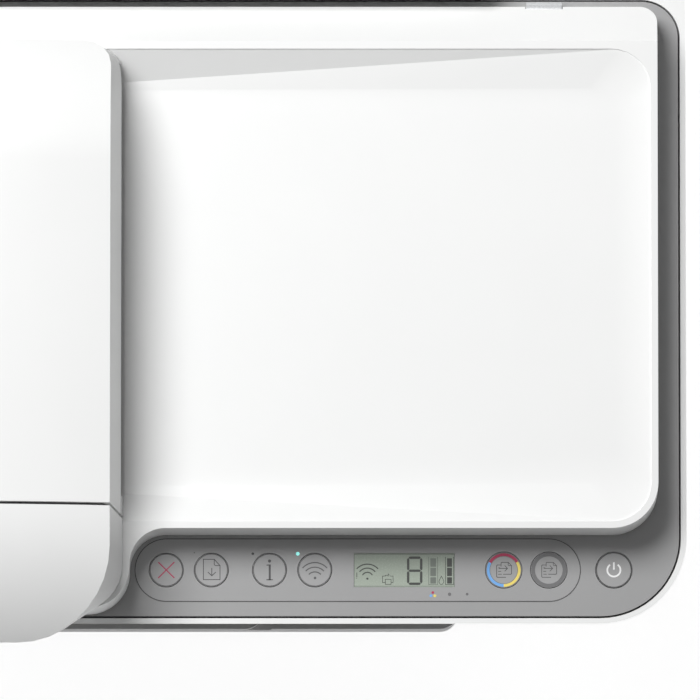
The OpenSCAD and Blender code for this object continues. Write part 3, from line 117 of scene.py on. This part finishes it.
def noise(tree, scale, detail, stretch=None):
    coords = tree.nodes.new("ShaderNodeTexCoord")
    tex = tree.nodes.new("ShaderNodeTexNoise")
    tex.inputs["Scale"].default_value = scale
    tex.inputs["Detail"].default_value = detail
    source = coords.outputs["Object"]
    if stretch:
        mapping = tree.nodes.new("ShaderNodeMapping")
        mapping.inputs["Scale"].default_value = stretch
        tree.links.new(source, mapping.inputs["Vector"])
        source = mapping.outputs["Vector"]
    tree.links.new(source, tex.inputs["Vector"])
    return tex


def spread(tree, tex, low, high):
    """A noise's values, spread from low to high."""
    span = tree.nodes.new("ShaderNodeMapRange")
    span.inputs["From Min"].default_value = NOISE_LOW
    span.inputs["From Max"].default_value = NOISE_HIGH
    span.inputs["To Min"].default_value = low
    span.inputs["To Max"].default_value = high
    tree.links.new(tex.outputs["Fac"], span.inputs["Value"])
    return span.outputs["Result"]


def surface(name, colour, rough, grain=FILM_GRAIN, bump=0.03, vary=0.03, metal=0.0, stretch=None,
            rough_spread=0.05, glow=0.0):
    """Moulded or finished surface: cloudy colour, a fine grain in the bump, and uneven roughness.
    grain is the noise's scale per metre, and vary is how far the colour strays as a share of itself."""
    mat, tree, bsdf = new_material(name)
    cloud = noise(tree, CLOUD_SCALE, detail=4.0)
    mix = tree.nodes.new("ShaderNodeMix")
    mix.data_type = "RGBA"
    mix.inputs[MIX_A].default_value = (*[c * (1 - vary) for c in colour], 1)
    mix.inputs[MIX_B].default_value = (*[min(1.0, c * (1 + vary)) for c in colour], 1)
    tree.links.new(spread(tree, cloud, 0.0, 1.0), mix.inputs[MIX_FACTOR])
    tree.links.new(mix.outputs[MIX_RESULT], bsdf.inputs["Base Color"])
    fine = noise(tree, grain, detail=2.0, stretch=stretch)
    tree.links.new(spread(tree, fine, rough - rough_spread, rough + rough_spread),
                   bsdf.inputs["Roughness"])
    relief = tree.nodes.new("ShaderNodeBump")
    relief.inputs["Strength"].default_value = bump
    relief.inputs["Distance"].default_value = RELIEF_DEPTH
    tree.links.new(fine.outputs["Fac"], relief.inputs["Height"])
    tree.links.new(relief.outputs["Normal"], bsdf.inputs["Normal"])
    bsdf.inputs["Metallic"].default_value = metal
    if glow:
        bsdf.inputs["Emission Color"].default_value = (*colour, 1)
        bsdf.inputs["Emission Strength"].default_value = glow
    return mat


# Casings, panel and mechanism
WHITE = surface("white_moulding", (0.90, 0.905, 0.90), 0.48, grain=2400, bump=0.10, vary=0.006)
PALE = surface("pale_moulding", (0.70, 0.70, 0.70), 0.45, grain=2400, bump=0.10, vary=0.012)
DECK = surface("grey_moulding", (0.335, 0.335, 0.337), 0.42, grain=2600, bump=0.12, vary=0.02)
PANEL = surface("panel_film", (0.345, 0.345, 0.347), 0.36, bump=0.05, vary=0.015)
KEYCAP = surface("key_film", (0.352, 0.352, 0.354), 0.36, bump=0.05, vary=0.015)
RUBBER = surface("rubber", (0.035, 0.035, 0.036), 0.78, grain=1800, bump=0.35, vary=0.10)
DARK = surface("dark_moulding", (0.09, 0.09, 0.093), 0.46, grain=2400, bump=0.14)
BLACK = surface("black_moulding", (0.03, 0.03, 0.031), 0.42, grain=2400, bump=0.14, vary=0.05)
STEEL = surface("plated_steel", (0.56, 0.57, 0.58), 0.30, grain=700, bump=0.06, metal=1.0,
                stretch=(1, 14, 14), rough_spread=0.08)
BRASS = surface("sintered_brass", (0.62, 0.47, 0.22), 0.34, grain=1500, bump=0.08, vary=0.04, metal=1.0)
NATURAL = surface("natural_plastic", (0.72, 0.69, 0.60), 0.40, grain=2200, bump=0.08, vary=0.02)
BOARD = surface("circuit_board", (0.02, 0.13, 0.055), 0.38, grain=900, bump=0.15, vary=0.12)
FOAM = surface("white_foam_sheet", (0.82, 0.82, 0.81), 0.72, grain=900, bump=0.45, vary=0.02)

# Printed marks, lamps and the display's segments
INK_DARK = surface("mark_dark", (0.055, 0.055, 0.057), 0.45, vary=0.04)
INK_MID = surface("mark_mid", (0.155, 0.155, 0.158), 0.45, vary=0.04)
INK_RING = surface("mark_ring", (0.135, 0.135, 0.138), 0.42)
INK_WHITE = surface("mark_white", (0.95, 0.95, 0.95), 0.45, bump=0.02, vary=0.005)
MAGENTA = surface("mark_magenta", (0.43, 0.022, 0.085), 0.45)
BLUE = surface("mark_blue", (0.16, 0.42, 0.85), 0.45, vary=0.02)
YELLOW = surface("mark_yellow", (0.90, 0.72, 0.16), 0.45, vary=0.02)
LAMP_LIT = surface("lamp_lit", (0.32, 0.95, 0.88), 0.3, bump=0.02, vary=0.02, glow=0.55)
LAMP_OFF = surface("lamp_off", (0.045, 0.045, 0.047), 0.3, bump=0.02, vary=0.05)
SEGMENT = surface("segment_dark", (0.018, 0.022, 0.018), 0.35, bump=0.02, vary=0.05)
SEGMENT_DIM = surface("segment_dim", (0.13, 0.15, 0.13), 0.35, bump=0.02, vary=0.05)


# Depth in mm over which the display's colour changes
LCD_FADE = 16


def lcd_material():
    """Reflective liquid crystal: a green-grey that is darker near the rear edge."""
    mat, tree, bsdf = new_material("lcd_glass")
    coords = tree.nodes.new("ShaderNodeTexCoord")
    split = tree.nodes.new("ShaderNodeSeparateXYZ")
    tree.links.new(coords.outputs["Object"], split.inputs["Vector"])
    span = tree.nodes.new("ShaderNodeMapRange")
    span.inputs["From Min"].default_value = (LCD_MIDDLE[1] - LCD_FADE / 2) * MM
    span.inputs["From Max"].default_value = (LCD_MIDDLE[1] + LCD_FADE / 2) * MM
    tree.links.new(split.outputs["Y"], span.inputs["Value"])
    ramp = tree.nodes.new("ShaderNodeValToRGB")
    ramp.color_ramp.elements[0].color = (0.38, 0.43, 0.365, 1)
    ramp.color_ramp.elements[1].color = (0.30, 0.345, 0.29, 1)
    tree.links.new(span.outputs["Result"], ramp.inputs["Fac"])
    tree.links.new(ramp.outputs["Color"], bsdf.inputs["Base Color"])
    fine = noise(tree, scale=1500, detail=2.0)
    tree.links.new(spread(tree, fine, 0.22, 0.30), bsdf.inputs["Roughness"])
    return mat


def glass_material():
    """Float glass of the scanner, with faint smears in its roughness."""
    mat, tree, bsdf = new_material("float_glass")
    bsdf.inputs["Base Color"].default_value = (0.93, 0.97, 0.95, 1)
    bsdf.inputs["Transmission Weight"].default_value = 0.92
    smear = noise(tree, scale=35, detail=3.0, stretch=(1, 4, 1))
    tree.links.new(spread(tree, smear, 0.01, 0.05), bsdf.inputs["Roughness"])
    return mat


LCD = lcd_material()
GLASS = glass_material()

# ---- The CAD nodes' finish ----
KEY_NODES = " ".join(PLAIN_KEYS + COPY_KEYS + ("key_power",))
FINISH = {
    WHITE: "base_tray housing lid_shell lid_brackets feeder_nose feeder_cover access_door",
    PALE: "feeder_base output_tray tray_arm",
    DECK: "scanner_frame rear_ramp",
    PANEL: "control_overlay",
    KEYCAP: KEY_NODES,
    RUBBER: "rubber_feet feeder_roller feeder_pick_roller feed_roller exit_roller pick_roller",
    GLASS: "scan_glass strip_glass",
    LCD: "display",
    FOAM: "lid_pad",
    BOARD: "control_board main_board",
    STEEL: "scan_rail lid_hinges side_plates carriage_rail feeder_motor feed_motor carriage_motor "
           "screws",
    DARK: "paper_support paper_guide_left paper_guide_right service_base",
    BLACK: "scan_bar platen carriage cartridge_color cartridge_black service_sled power_unit "
           "drive_belt",
    NATURAL: "guide_pinion exit_idler pick_idler encoder_strip",
    BRASS: "motor_pinion motor_pulley idler_pulley",
}

# Width in mm of the small round on the edges of each piece that has one
NODES_BY_ROUND = {
    0.7: "lid_shell",
    0.5: "feeder_nose feeder_cover housing output_tray access_door paper_support",
    0.4: "base_tray tray_arm",
    0.35: "scanner_frame",
    0.3: "feeder_base paper_guide_left paper_guide_right carriage",
    0.12: KEY_NODES,
    0.05: "control_overlay",
}
ROUNDS = {name: width for width, names in NODES_BY_ROUND.items() for name in names.split()}
# Faces that meet at more than this angle have a sharp or rounded edge between them
SHARP = math.radians(34)
WELD_REACH = 0.002 * MM
# Decimals of a metre to which two corners in the same place agree
SAME_PLACE = 6


def dress(obj, mat, width):
    """Puts a material on a node, welds its corners and rounds its edges by width in mm."""
    obj.data.materials.clear()
    obj.data.materials.append(mat)
    if "custom_normal" in obj.data.attributes:
        obj.data.attributes.remove(obj.data.attributes["custom_normal"])
    for face in obj.data.polygons:
        face.use_smooth = True
    weld = obj.modifiers.new("weld", "WELD")
    weld.merge_threshold = WELD_REACH
    if width:
        rounds = obj.modifiers.new("rounds", "BEVEL")
        rounds.width = width * MM
        rounds.segments = 2
        rounds.limit_method = "ANGLE"
        rounds.angle_limit = SHARP
        rounds.harden_normals = False
    even = obj.modifiers.new("even", "WEIGHTED_NORMAL")
    even.keep_sharp = True
    even.weight = 80


def mark_sharp(obj):
    """Edges between steep faces stay crisp where no round softens them. The imported faces don't
    share their corners, so the two sides of an edge are found by where it lies."""
    mesh = bmesh.new()
    mesh.from_mesh(obj.data)

    def where(edge):
        return tuple(sorted(tuple(round(c, SAME_PLACE) for c in v.co) for v in edge.verts))

    sides = {}
    for face in mesh.faces:
        for edge in face.edges:
            sides.setdefault(where(edge), []).append(face.normal)
    for edge in mesh.edges:
        normals = sides[where(edge)]
        edge.smooth = len(normals) == 2 and normals[0].angle(normals[1], 0) < SHARP
    mesh.to_mesh(obj.data)
    mesh.free()


def dress_nodes():
    for mat, names in FINISH.items():
        for name in names.split():
            if name not in ROUNDS:
                mark_sharp(NODES[name])
            dress(NODES[name], mat, ROUNDS.get(name, 0))


dress_nodes()


# ---- Printed marks: thin films that lie on the keys, the panel and the display ----
def film(name, shapes, mat, centre, low_z, node):
    """One piece from flat outlines [(x, y), ...] in mm about a centre, with its underside at low_z.
    It rides with its node."""
    mesh = bmesh.new()
    for outline in shapes:
        low = [mesh.verts.new(((centre[0] + x) * MM, (centre[1] + y) * MM, low_z * MM))
               for x, y in outline]
        high = [mesh.verts.new(v.co + Vector((0, 0, MARK_T * MM))) for v in low]
        mesh.faces.new(high)
        mesh.faces.new(low[::-1])
        for i in range(len(low)):
            j = (i + 1) % len(low)
            mesh.faces.new((low[i], low[j], high[j], high[i]))
    bmesh.ops.recalc_face_normals(mesh, faces=mesh.faces)
    data = bpy.data.meshes.new(name)
    mesh.to_mesh(data)
    mesh.free()
    obj = bpy.data.objects.new(name, data)
    bpy.context.scene.collection.objects.link(obj)
    data.materials.append(mat)
    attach(obj, NODES[node]["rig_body"])


# How far a stroke reaches past its points, as a share of its width
STROKE_REACH = 0.35
DOT_SIDES = 28
RING_SIDES = 96
WAVE_SIDES = 160


def stroke(points, width):
    """Quads along a line, each a little longer than its stretch so that they meet at the corners."""
    shapes = []
    for (x0, y0), (x1, y1) in zip(points, points[1:]):
        length = math.hypot(x1 - x0, y1 - y0)
        ux, uy = (x1 - x0) / length, (y1 - y0) / length
        reach = width * STROKE_REACH
        x0, y0, x1, y1 = x0 - ux * reach, y0 - uy * reach, x1 + ux * reach, y1 + uy * reach
        nx, ny = -uy * width / 2, ux * width / 2
        shapes.append([(x0 + nx, y0 + ny), (x0 - nx, y0 - ny), (x1 - nx, y1 - ny),
                       (x1 + nx, y1 + ny)])
    return shapes


def strokes(lines):
    """Quads of several lines, each given as its points and its width."""
    return [quad for points, width in lines for quad in stroke(points, width)]


def band(radius, width, start=0, end=360, cx=0.0, cy=0.0, sides=RING_SIDES):
    """Part of a ring as quads, between two angles in degrees."""
    steps = max(4, int(sides * abs(end - start) / 360))
    angles = [math.radians(start + (end - start) * i / steps) for i in range(steps + 1)]
    r0, r1 = radius - width / 2, radius + width / 2
    return [[(cx + r * math.cos(a), cy + r * math.sin(a)) for r, a in
             ((r0, a0), (r1, a0), (r1, a1), (r0, a1))] for a0, a1 in zip(angles, angles[1:])]


def dot(radius, cx=0.0, cy=0.0):
    angles = [math.tau * i / DOT_SIDES for i in range(DOT_SIDES)]
    return [[(cx + radius * math.cos(a), cy + radius * math.sin(a)) for a in angles]]


def waves(levels, width, cx=0.0):
    """Arcs of a wireless symbol: (half width, rise, height of the top) for each."""
    shapes = []
    for half, rise, crest in levels:
        radius = (half * half + rise * rise) / (2 * rise)
        swing = math.degrees(math.asin(half / radius))
        shapes += band(radius, width, 90 - swing, 90 + swing, cx, crest - radius, WAVE_SIDES)
    return shapes


# ---- Symbols of the keys, in mm about the middle of each key ----
# A ring is its radius and its width, and a line is its points and its width
PLAIN_RIM = (7.25, 0.36)
COPY_RIM = (7.8, 0.28)
COPY_INNER = (6.25, 0.22)
COLOUR_RING = (7.0, 1.25)
BLACK_RING = (7.1, 1.75)
POWER_RIM = (7.8, 0.45)
POWER_RING = (2.95, 0.8)
# Where the open ring of the power symbol starts and ends, in degrees
POWER_OPENING = (125, 415)
POWER_BAR = ([(0, 3.3), (0, 0.4)], 0.75)
# Parts of the colour ring: name, material, and where each starts and ends in degrees
COLOUR_PARTS = (("magenta", MAGENTA, 31, 151), ("blue", BLUE, 151, 270), ("yellow", YELLOW, -90, 31))
CROSS_ARM = 3.5
CROSS_W = 0.52
# A page with a folded corner, and an arrow down
PAGE = ([(1.3, 4.9), (-3.6, 4.9), (-3.6, -4.35), (3.9, -4.35), (3.9, 2.0), (1.3, 4.9)], 0.36)
PAGE_FOLD = ([(1.3, 4.9), (1.3, 2.7), (1.55, 2.2), (2.0, 2.0), (3.9, 2.0)], 0.32)
DOWN_ARROW = (([(0.2, 0.8), (0.2, -2.5)], 0.36), ([(-1.5, -1.0), (0.2, -2.6), (1.9, -1.0)], 0.36))
# A serifed letter i: its dot's radius and place, and its stem, serif and foot
LETTER_DOT = (0.72, 0, 4.1)
LETTER_LINES = (
    ([(0.1, 2.2), (0.1, -4.3)], 0.95),
    ([(-1.2, 2.25), (-0.1, 2.3)], 0.45),
    ([(-1.25, -4.4), (1.35, -4.4)], 0.42),
)
# The wireless symbol: half width, rise and height of the top of each arc, and the dot under them as
# its radius and place
KEY_WAVES = [(5.5, 2.5, 3.4), (4.1, 1.8, 1.3), (2.7, 1.15, -0.85)]
KEY_WAVE_W = 0.5
KEY_WAVE_DOT = (0.6, 0.1, -3.6)
# Copying: a page in front of another, lines of print, and an arrow across
COPY_PAGES = (
    ([(-1.5, 2.3), (-2.9, 2.3), (-3.2, 2.0), (-3.2, -3.0), (-2.9, -3.3), (0.9, -3.3)], 0.3),
    ([(-1.2, 1.7), (-1.2, 3.2), (-0.9, 3.5), (2.0, 3.5), (3.5, 2.0), (3.5, -1.6), (3.2, -1.9),
      (-0.2, -1.9)], 0.3),
)
COPY_FOLD = ([(2.0, 3.5), (2.0, 2.3), (2.3, 2.0), (3.5, 2.0)], 0.26)
COPY_PRINT = (
    ([(-2.4, 1.0), (-1.7, 1.0)], 0.28),
    ([(-2.4, -0.6), (-1.3, -0.6)], 0.28),
    ([(-2.4, -1.9), (-1.0, -1.9)], 0.28),
)
ACROSS_ARROW = (([(-2.1, 0.75), (1.6, 0.75)], 0.3), ([(0.5, 2.0), (1.7, 0.75), (0.5, -0.5)], 0.3))


def on_key(name, part, shapes, mat, lift=0.0):
    film(f"{name}_{part}", shapes, mat, middle(name), KEY_TOP + lift, name)


def plain_keys():
    for key in PLAIN_KEYS:
        on_key(key, "rim", band(*PLAIN_RIM), INK_DARK)
    one_way = [(-CROSS_ARM, -CROSS_ARM), (CROSS_ARM, CROSS_ARM)]
    other_way = [(-CROSS_ARM, CROSS_ARM), (CROSS_ARM, -CROSS_ARM)]
    on_key("key_cancel", "cross", stroke(one_way, CROSS_W), MAGENTA)
    on_key("key_cancel", "cross_back", stroke(other_way, CROSS_W), MAGENTA, OVER)
    on_key("key_resume", "page", stroke(*PAGE), INK_DARK)
    on_key("key_resume", "fold", stroke(*PAGE_FOLD), INK_DARK, OVER)
    on_key("key_resume", "arrow", strokes(DOWN_ARROW), INK_DARK)
    on_key("key_info", "letter", dot(*LETTER_DOT) + strokes(LETTER_LINES), INK_DARK)
    on_key("key_wireless", "waves", waves(KEY_WAVES, KEY_WAVE_W) + dot(*KEY_WAVE_DOT), INK_DARK)


def copy_keys():
    """Colour copy has a ring in three colours between two thin ones, and black copy one broad ring."""
    on_key("key_color", "rim", band(*COPY_RIM), INK_MID)
    on_key("key_color", "inner", band(*COPY_INNER), INK_MID)
    for part, mat, start, end in COLOUR_PARTS:
        on_key("key_color", part, band(*COLOUR_RING, start, end), mat)
    on_key("key_black", "ring", band(*BLACK_RING), INK_RING)
    for key in COPY_KEYS:
        on_key(key, "pages", strokes(COPY_PAGES), INK_DARK)
        on_key(key, "fold", stroke(*COPY_FOLD), INK_DARK, OVER)
        on_key(key, "lines", strokes(COPY_PRINT), INK_DARK)
        on_key(key, "arrow", strokes(ACROSS_ARROW), INK_DARK, 2 * OVER)


def power_key():
    on_key("key_power", "rim", band(*POWER_RIM), BLACK)
    on_key("key_power", "symbol", band(*POWER_RING, *POWER_OPENING) + stroke(*POWER_BAR), INK_WHITE)


plain_keys()
copy_keys()
power_key()

# ---- Marks of the panel ----
# The dark edge runs this far inside the overlay's own edge
EDGE_INSET = 0.05
EDGE_W = 0.34
STADIUM_SIDES = 40
# Cosine and sine of the view's elevation
VIEW_COS = round(math.cos(ELEVATION), 5)
VIEW_SIN = round(math.sin(ELEVATION), 5)
# Lamps and dots: column and row in the photograph, radius in mm, material
PANEL_DOTS = {
    "lamp_resume": (194.2, 553.0, 0.34, INK_MID),
    "lamp_info": (252.7, 554.0, 0.62, LAMP_OFF),
    "lamp_wireless": (297.7, 554.0, 0.80, LAMP_LIT),
    "dot_magenta": (432.9, 592.8, 0.62, MAGENTA),
    "dot_blue": (430.9, 596.0, 0.62, BLUE),
    "dot_yellow": (434.9, 596.0, 0.62, YELLOW),
    "dot_black": (449.6, 594.5, 0.78, INK_RING),
    "dot_small": (467.2, 594.4, 0.62, INK_RING),
}


def on_panel(name, shapes, mat, centre):
    film(name, shapes, mat, centre, PANEL_TOP, "control_overlay")


def panel_point(column, row):
    """Millimetres on the panel for a pixel of the photograph."""
    rise = BASE_RISE + (BASE_ROW - row) * PIXEL
    return PIXEL * column + LEFT_EDGE, (rise - VIEW_COS * PANEL_TOP) / VIEW_SIN


def stadium(length, depth, width):
    """A closed band along a stadium, as quads."""
    def outline(inset):
        r, half = depth / 2 - inset, length / 2 - depth / 2
        turns = [math.pi * i / STADIUM_SIDES for i in range(STADIUM_SIDES + 1)]
        return ([(half + r * math.sin(a), -r * math.cos(a)) for a in turns]
                + [(-half - r * math.sin(a), r * math.cos(a)) for a in turns])
    outer, inner = outline(0), outline(width)
    return [[outer[i], outer[(i + 1) % len(outer)], inner[(i + 1) % len(inner)], inner[i]]
            for i in range(len(outer))]


def panel_marks():
    low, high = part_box("control_overlay")
    length, depth = (round((high[axis] - low[axis]) / MM - 2 * EDGE_INSET, 2) for axis in (0, 1))
    on_panel("overlay_edge", stadium(length, depth, EDGE_W), INK_DARK, middle("control_overlay"))
    for name, (column, row, radius, mat) in PANEL_DOTS.items():
        on_panel(name, dot(radius), mat, panel_point(column, row))


panel_marks()

# ---- The display's segments, in pixels of an enlarged view ----
# Millimetres in a pixel of it, and the pixel in the middle of the window
LCD_PIXEL = 0.0918
LCD_COLUMN, LCD_ROW = 315, 201
# Left, top, right and bottom
ALERT_STEM = (80.5, 213, 83.5, 236)
ALERT_POINT = (80.5, 240, 83.5, 244)
FIGURE = (328, 133, 404, 274)
FIGURE_BAR = 12
FIGURE_GAP = 1.6
# The dot of the wireless symbol, and in mm each arc's half width, rise and height over the dot
WAVE_DOT = (134, 243)
LCD_WAVES = [(4.8, 2.1, 6.6), (3.5, 1.65, 4.8), (2.2, 1.3, 2.9)]
LCD_WAVE_W = 0.5
WAVE_DOT_R = 0.5
# A little printer: its left side and top, the mark above it, its right side and the sheet that comes
# out, each line with its width in mm
PRINTER_LINES = (
    ([(222, 262), (208, 262), (208, 230), (222, 230), (222, 226), (236, 226)], 0.24),
    ([(236, 232), (236, 218), (242, 226)], 0.22),
    ([(246, 230), (260, 230), (260, 262), (250, 262)], 0.24),
    ([(222, 246), (250, 246), (250, 271), (222, 271), (222, 246)], 0.24),
)
# Ink levels: name, left and right of the bars, and material. Then the bars' tops and bottoms, and the
# cup round them
INK_LEVELS = (("color", 443, 471, SEGMENT_DIM), ("black", 525, 549, SEGMENT))
LEVEL_ROWS = ((142, 184), (189, 230), (236, 267))
CUP_MARGIN = 8
CUP_TOP, CUP_BOTTOM = 136, 272
CUP_W = 0.26
DROP = [(497, 230), (507, 250), (509, 259), (504, 269), (497, 272), (490, 269), (485, 259), (487, 250),
        (497, 230)]
DROP_W = 0.24
WINDOW_EDGE = [(69, 123), (561, 123), (561, 280), (69, 280), (69, 123)]
WINDOW_EDGE_W = 0.22


def lcd_point(x, y):
    return (x - LCD_COLUMN) * LCD_PIXEL, (LCD_ROW - y) * LCD_PIXEL


def on_lcd(name, shapes, mat):
    film(name, shapes, mat, LCD_MIDDLE, LCD_TOP, "display")


def block(x0, y0, x1, y1):
    return [[lcd_point(x0, y1), lcd_point(x1, y1), lcd_point(x1, y0), lcd_point(x0, y0)]]


def lcd_line(points, width):
    return stroke([lcd_point(*p) for p in points], width)


def seven_segments(left, top_row, right, bottom_row):
    """The figure 8 of pointed bars, slightly parted."""
    h, gap = FIGURE_BAR / 2, FIGURE_GAP
    mid = (top_row + bottom_row) / 2
    shapes = []
    for y in (top_row + h, mid, bottom_row - h):
        a, b = left + h + gap, right - h - gap
        shapes.append([(a, y), (a + h, y - h), (b - h, y - h), (b, y), (b - h, y + h), (a + h, y + h)])
    for x in (left + h, right - h):
        for a, b in ((top_row + h + gap, mid - gap), (mid + gap, bottom_row - h - gap)):
            shapes.append([(x, a), (x + h, a + h), (x + h, b - h), (x, b), (x - h, b - h),
                           (x - h, a + h)])
    return [[lcd_point(*p) for p in shape][::-1] for shape in shapes]


def lcd_marks():
    wx, wy = lcd_point(*WAVE_DOT)
    arcs = waves([(half, rise, wy + crest) for half, rise, crest in LCD_WAVES], LCD_WAVE_W, wx)
    on_lcd("lcd_waves", arcs + dot(WAVE_DOT_R, wx, wy), SEGMENT)
    on_lcd("lcd_alert", block(*ALERT_STEM) + block(*ALERT_POINT), SEGMENT)
    printer = [quad for points, width in PRINTER_LINES for quad in lcd_line(points, width)]
    on_lcd("lcd_printer", printer, SEGMENT)
    on_lcd("lcd_figure", seven_segments(*FIGURE), SEGMENT)
    for ink, x0, x1, mat in INK_LEVELS:
        bars = [quad for y0, y1 in LEVEL_ROWS for quad in block(x0, y0, x1, y1)]
        left, right = x0 - CUP_MARGIN, x1 + CUP_MARGIN
        cup = [(left, CUP_TOP), (left, CUP_BOTTOM), (right, CUP_BOTTOM), (right, CUP_TOP)]
        on_lcd(f"lcd_bars_{ink}", bars, mat)
        on_lcd(f"lcd_cup_{ink}", lcd_line(cup, CUP_W), mat)
    on_lcd("lcd_drop", lcd_line(DROP, DROP_W), SEGMENT)
    on_lcd("lcd_edge", lcd_line(WINDOW_EDGE, WINDOW_EDGE_W), SEGMENT_DIM)


lcd_marks()

# ---- Floor and surroundings ----
FLOOR_HALF = 4.0
FLOOR_Z = -0.0002
# How bright the floor and the surroundings look when seen directly, and how much light comes from
# all round otherwise
FLOOR_SHINE = 0.80
SURROUND = 1.0
AMBIENT = 0.17
WHITE_LIGHT = (1, 1, 1, 1)


def seen_directly(tree):
    """1 for camera, glossy and transmission rays, 0 for the rest."""
    path = tree.nodes.new("ShaderNodeLightPath")
    last = path.outputs["Is Camera Ray"]
    for other in ("Is Glossy Ray", "Is Transmission Ray"):
        add = tree.nodes.new("ShaderNodeMath")
        add.operation = "MAXIMUM"
        tree.links.new(last, add.inputs[0])
        tree.links.new(path.outputs[other], add.inputs[1])
        last = add.outputs[0]
    return last


def floor_material():
    """To the camera the floor shows almost white by itself, and still takes the object's shadow."""
    mat = surface("pale_floor", (0.86, 0.86, 0.86), 0.75, grain=300, bump=0.02, vary=0.004)
    tree = mat.node_tree
    lit = next(n for n in tree.nodes if n.type == "BSDF_PRINCIPLED")
    shine = tree.nodes.new("ShaderNodeMath")
    shine.operation = "MULTIPLY"
    shine.inputs[1].default_value = FLOOR_SHINE
    tree.links.new(seen_directly(tree), shine.inputs[0])
    lit.inputs["Emission Color"].default_value = WHITE_LIGHT
    tree.links.new(shine.outputs[0], lit.inputs["Emission Strength"])
    return mat


def lay_floor():
    mesh = bpy.data.meshes.new("floor")
    corners = [(-1, -1), (1, -1), (1, 1), (-1, 1)]
    mesh.from_pydata([(x * FLOOR_HALF, y * FLOOR_HALF, FLOOR_Z) for x, y in corners], [],
                     [(0, 1, 2, 3)])
    floor = bpy.data.objects.new("floor", mesh)
    bpy.context.scene.collection.objects.link(floor)
    mesh.materials.append(floor_material())


def light_from_all_round():
    """The camera and reflections meet white all round, and matt surfaces get only ambient light."""
    world = bpy.data.worlds.new("studio")
    bpy.context.scene.world = world
    world.use_nodes = True
    tree = world.node_tree
    tree.nodes.clear()
    out = tree.nodes.new("ShaderNodeOutputWorld")
    mix = tree.nodes.new("ShaderNodeMixShader")
    tree.links.new(seen_directly(tree), mix.inputs[0])
    for socket, strength in ((1, AMBIENT), (2, SURROUND)):
        glow = tree.nodes.new("ShaderNodeBackground")
        glow.inputs["Color"].default_value = WHITE_LIGHT
        glow.inputs["Strength"].default_value = strength
        tree.links.new(glow.outputs[0], mix.inputs[socket])
    tree.links.new(mix.outputs[0], out.inputs["Surface"])


lay_floor()
light_from_all_round()

# ---- Key light, from the rear left: place, aim and width in metres, power in watts ----
LIGHT_PLACE = (-0.75, 0.92, 2.23)
LIGHT_AIM = (0.0, 0.0, 0.13)
LIGHT_SIZE = 1.3
LIGHT_WATTS = 56


def key_light():
    light = bpy.data.lights.new("key_light", "AREA")
    light.shape = "DISK"
    light.size = LIGHT_SIZE
    light.energy = LIGHT_WATTS
    obj = bpy.data.objects.new("key_light", light)
    obj.location = LIGHT_PLACE
    obj.rotation_mode = "QUATERNION"
    obj.rotation_quaternion = (Vector(LIGHT_AIM) - Vector(LIGHT_PLACE)).to_track_quat("-Z", "Y")
    obj.visible_camera = False
    bpy.context.scene.collection.objects.link(obj)


key_light()

# ---- Camera ----
# A very long lens, because the photograph shows hardly any perspective
LENS = 1000
SENSOR = 36
NEAREST, FARTHEST = 0.1, 40


def place_camera():
    camera = bpy.data.cameras.new("camera")
    camera.type = "PERSP"
    camera.lens = LENS
    camera.sensor_width = SENSOR
    camera.clip_start = NEAREST
    camera.clip_end = FARTHEST
    distance = VIEW_SIDE * PIXEL * MM / SENSOR * LENS
    back = Vector((0, -math.cos(ELEVATION), math.sin(ELEVATION)))
    obj = bpy.data.objects.new("camera", camera)
    obj.location = Vector(LOOK_AT) + back * distance
    obj.rotation_mode = "QUATERNION"
    obj.rotation_quaternion = (-back).to_track_quat("-Z", "Y")
    bpy.context.scene.collection.objects.link(obj)
    bpy.context.scene.camera = obj


place_camera()
bpy.context.scene.view_settings.view_transform = "Standard"
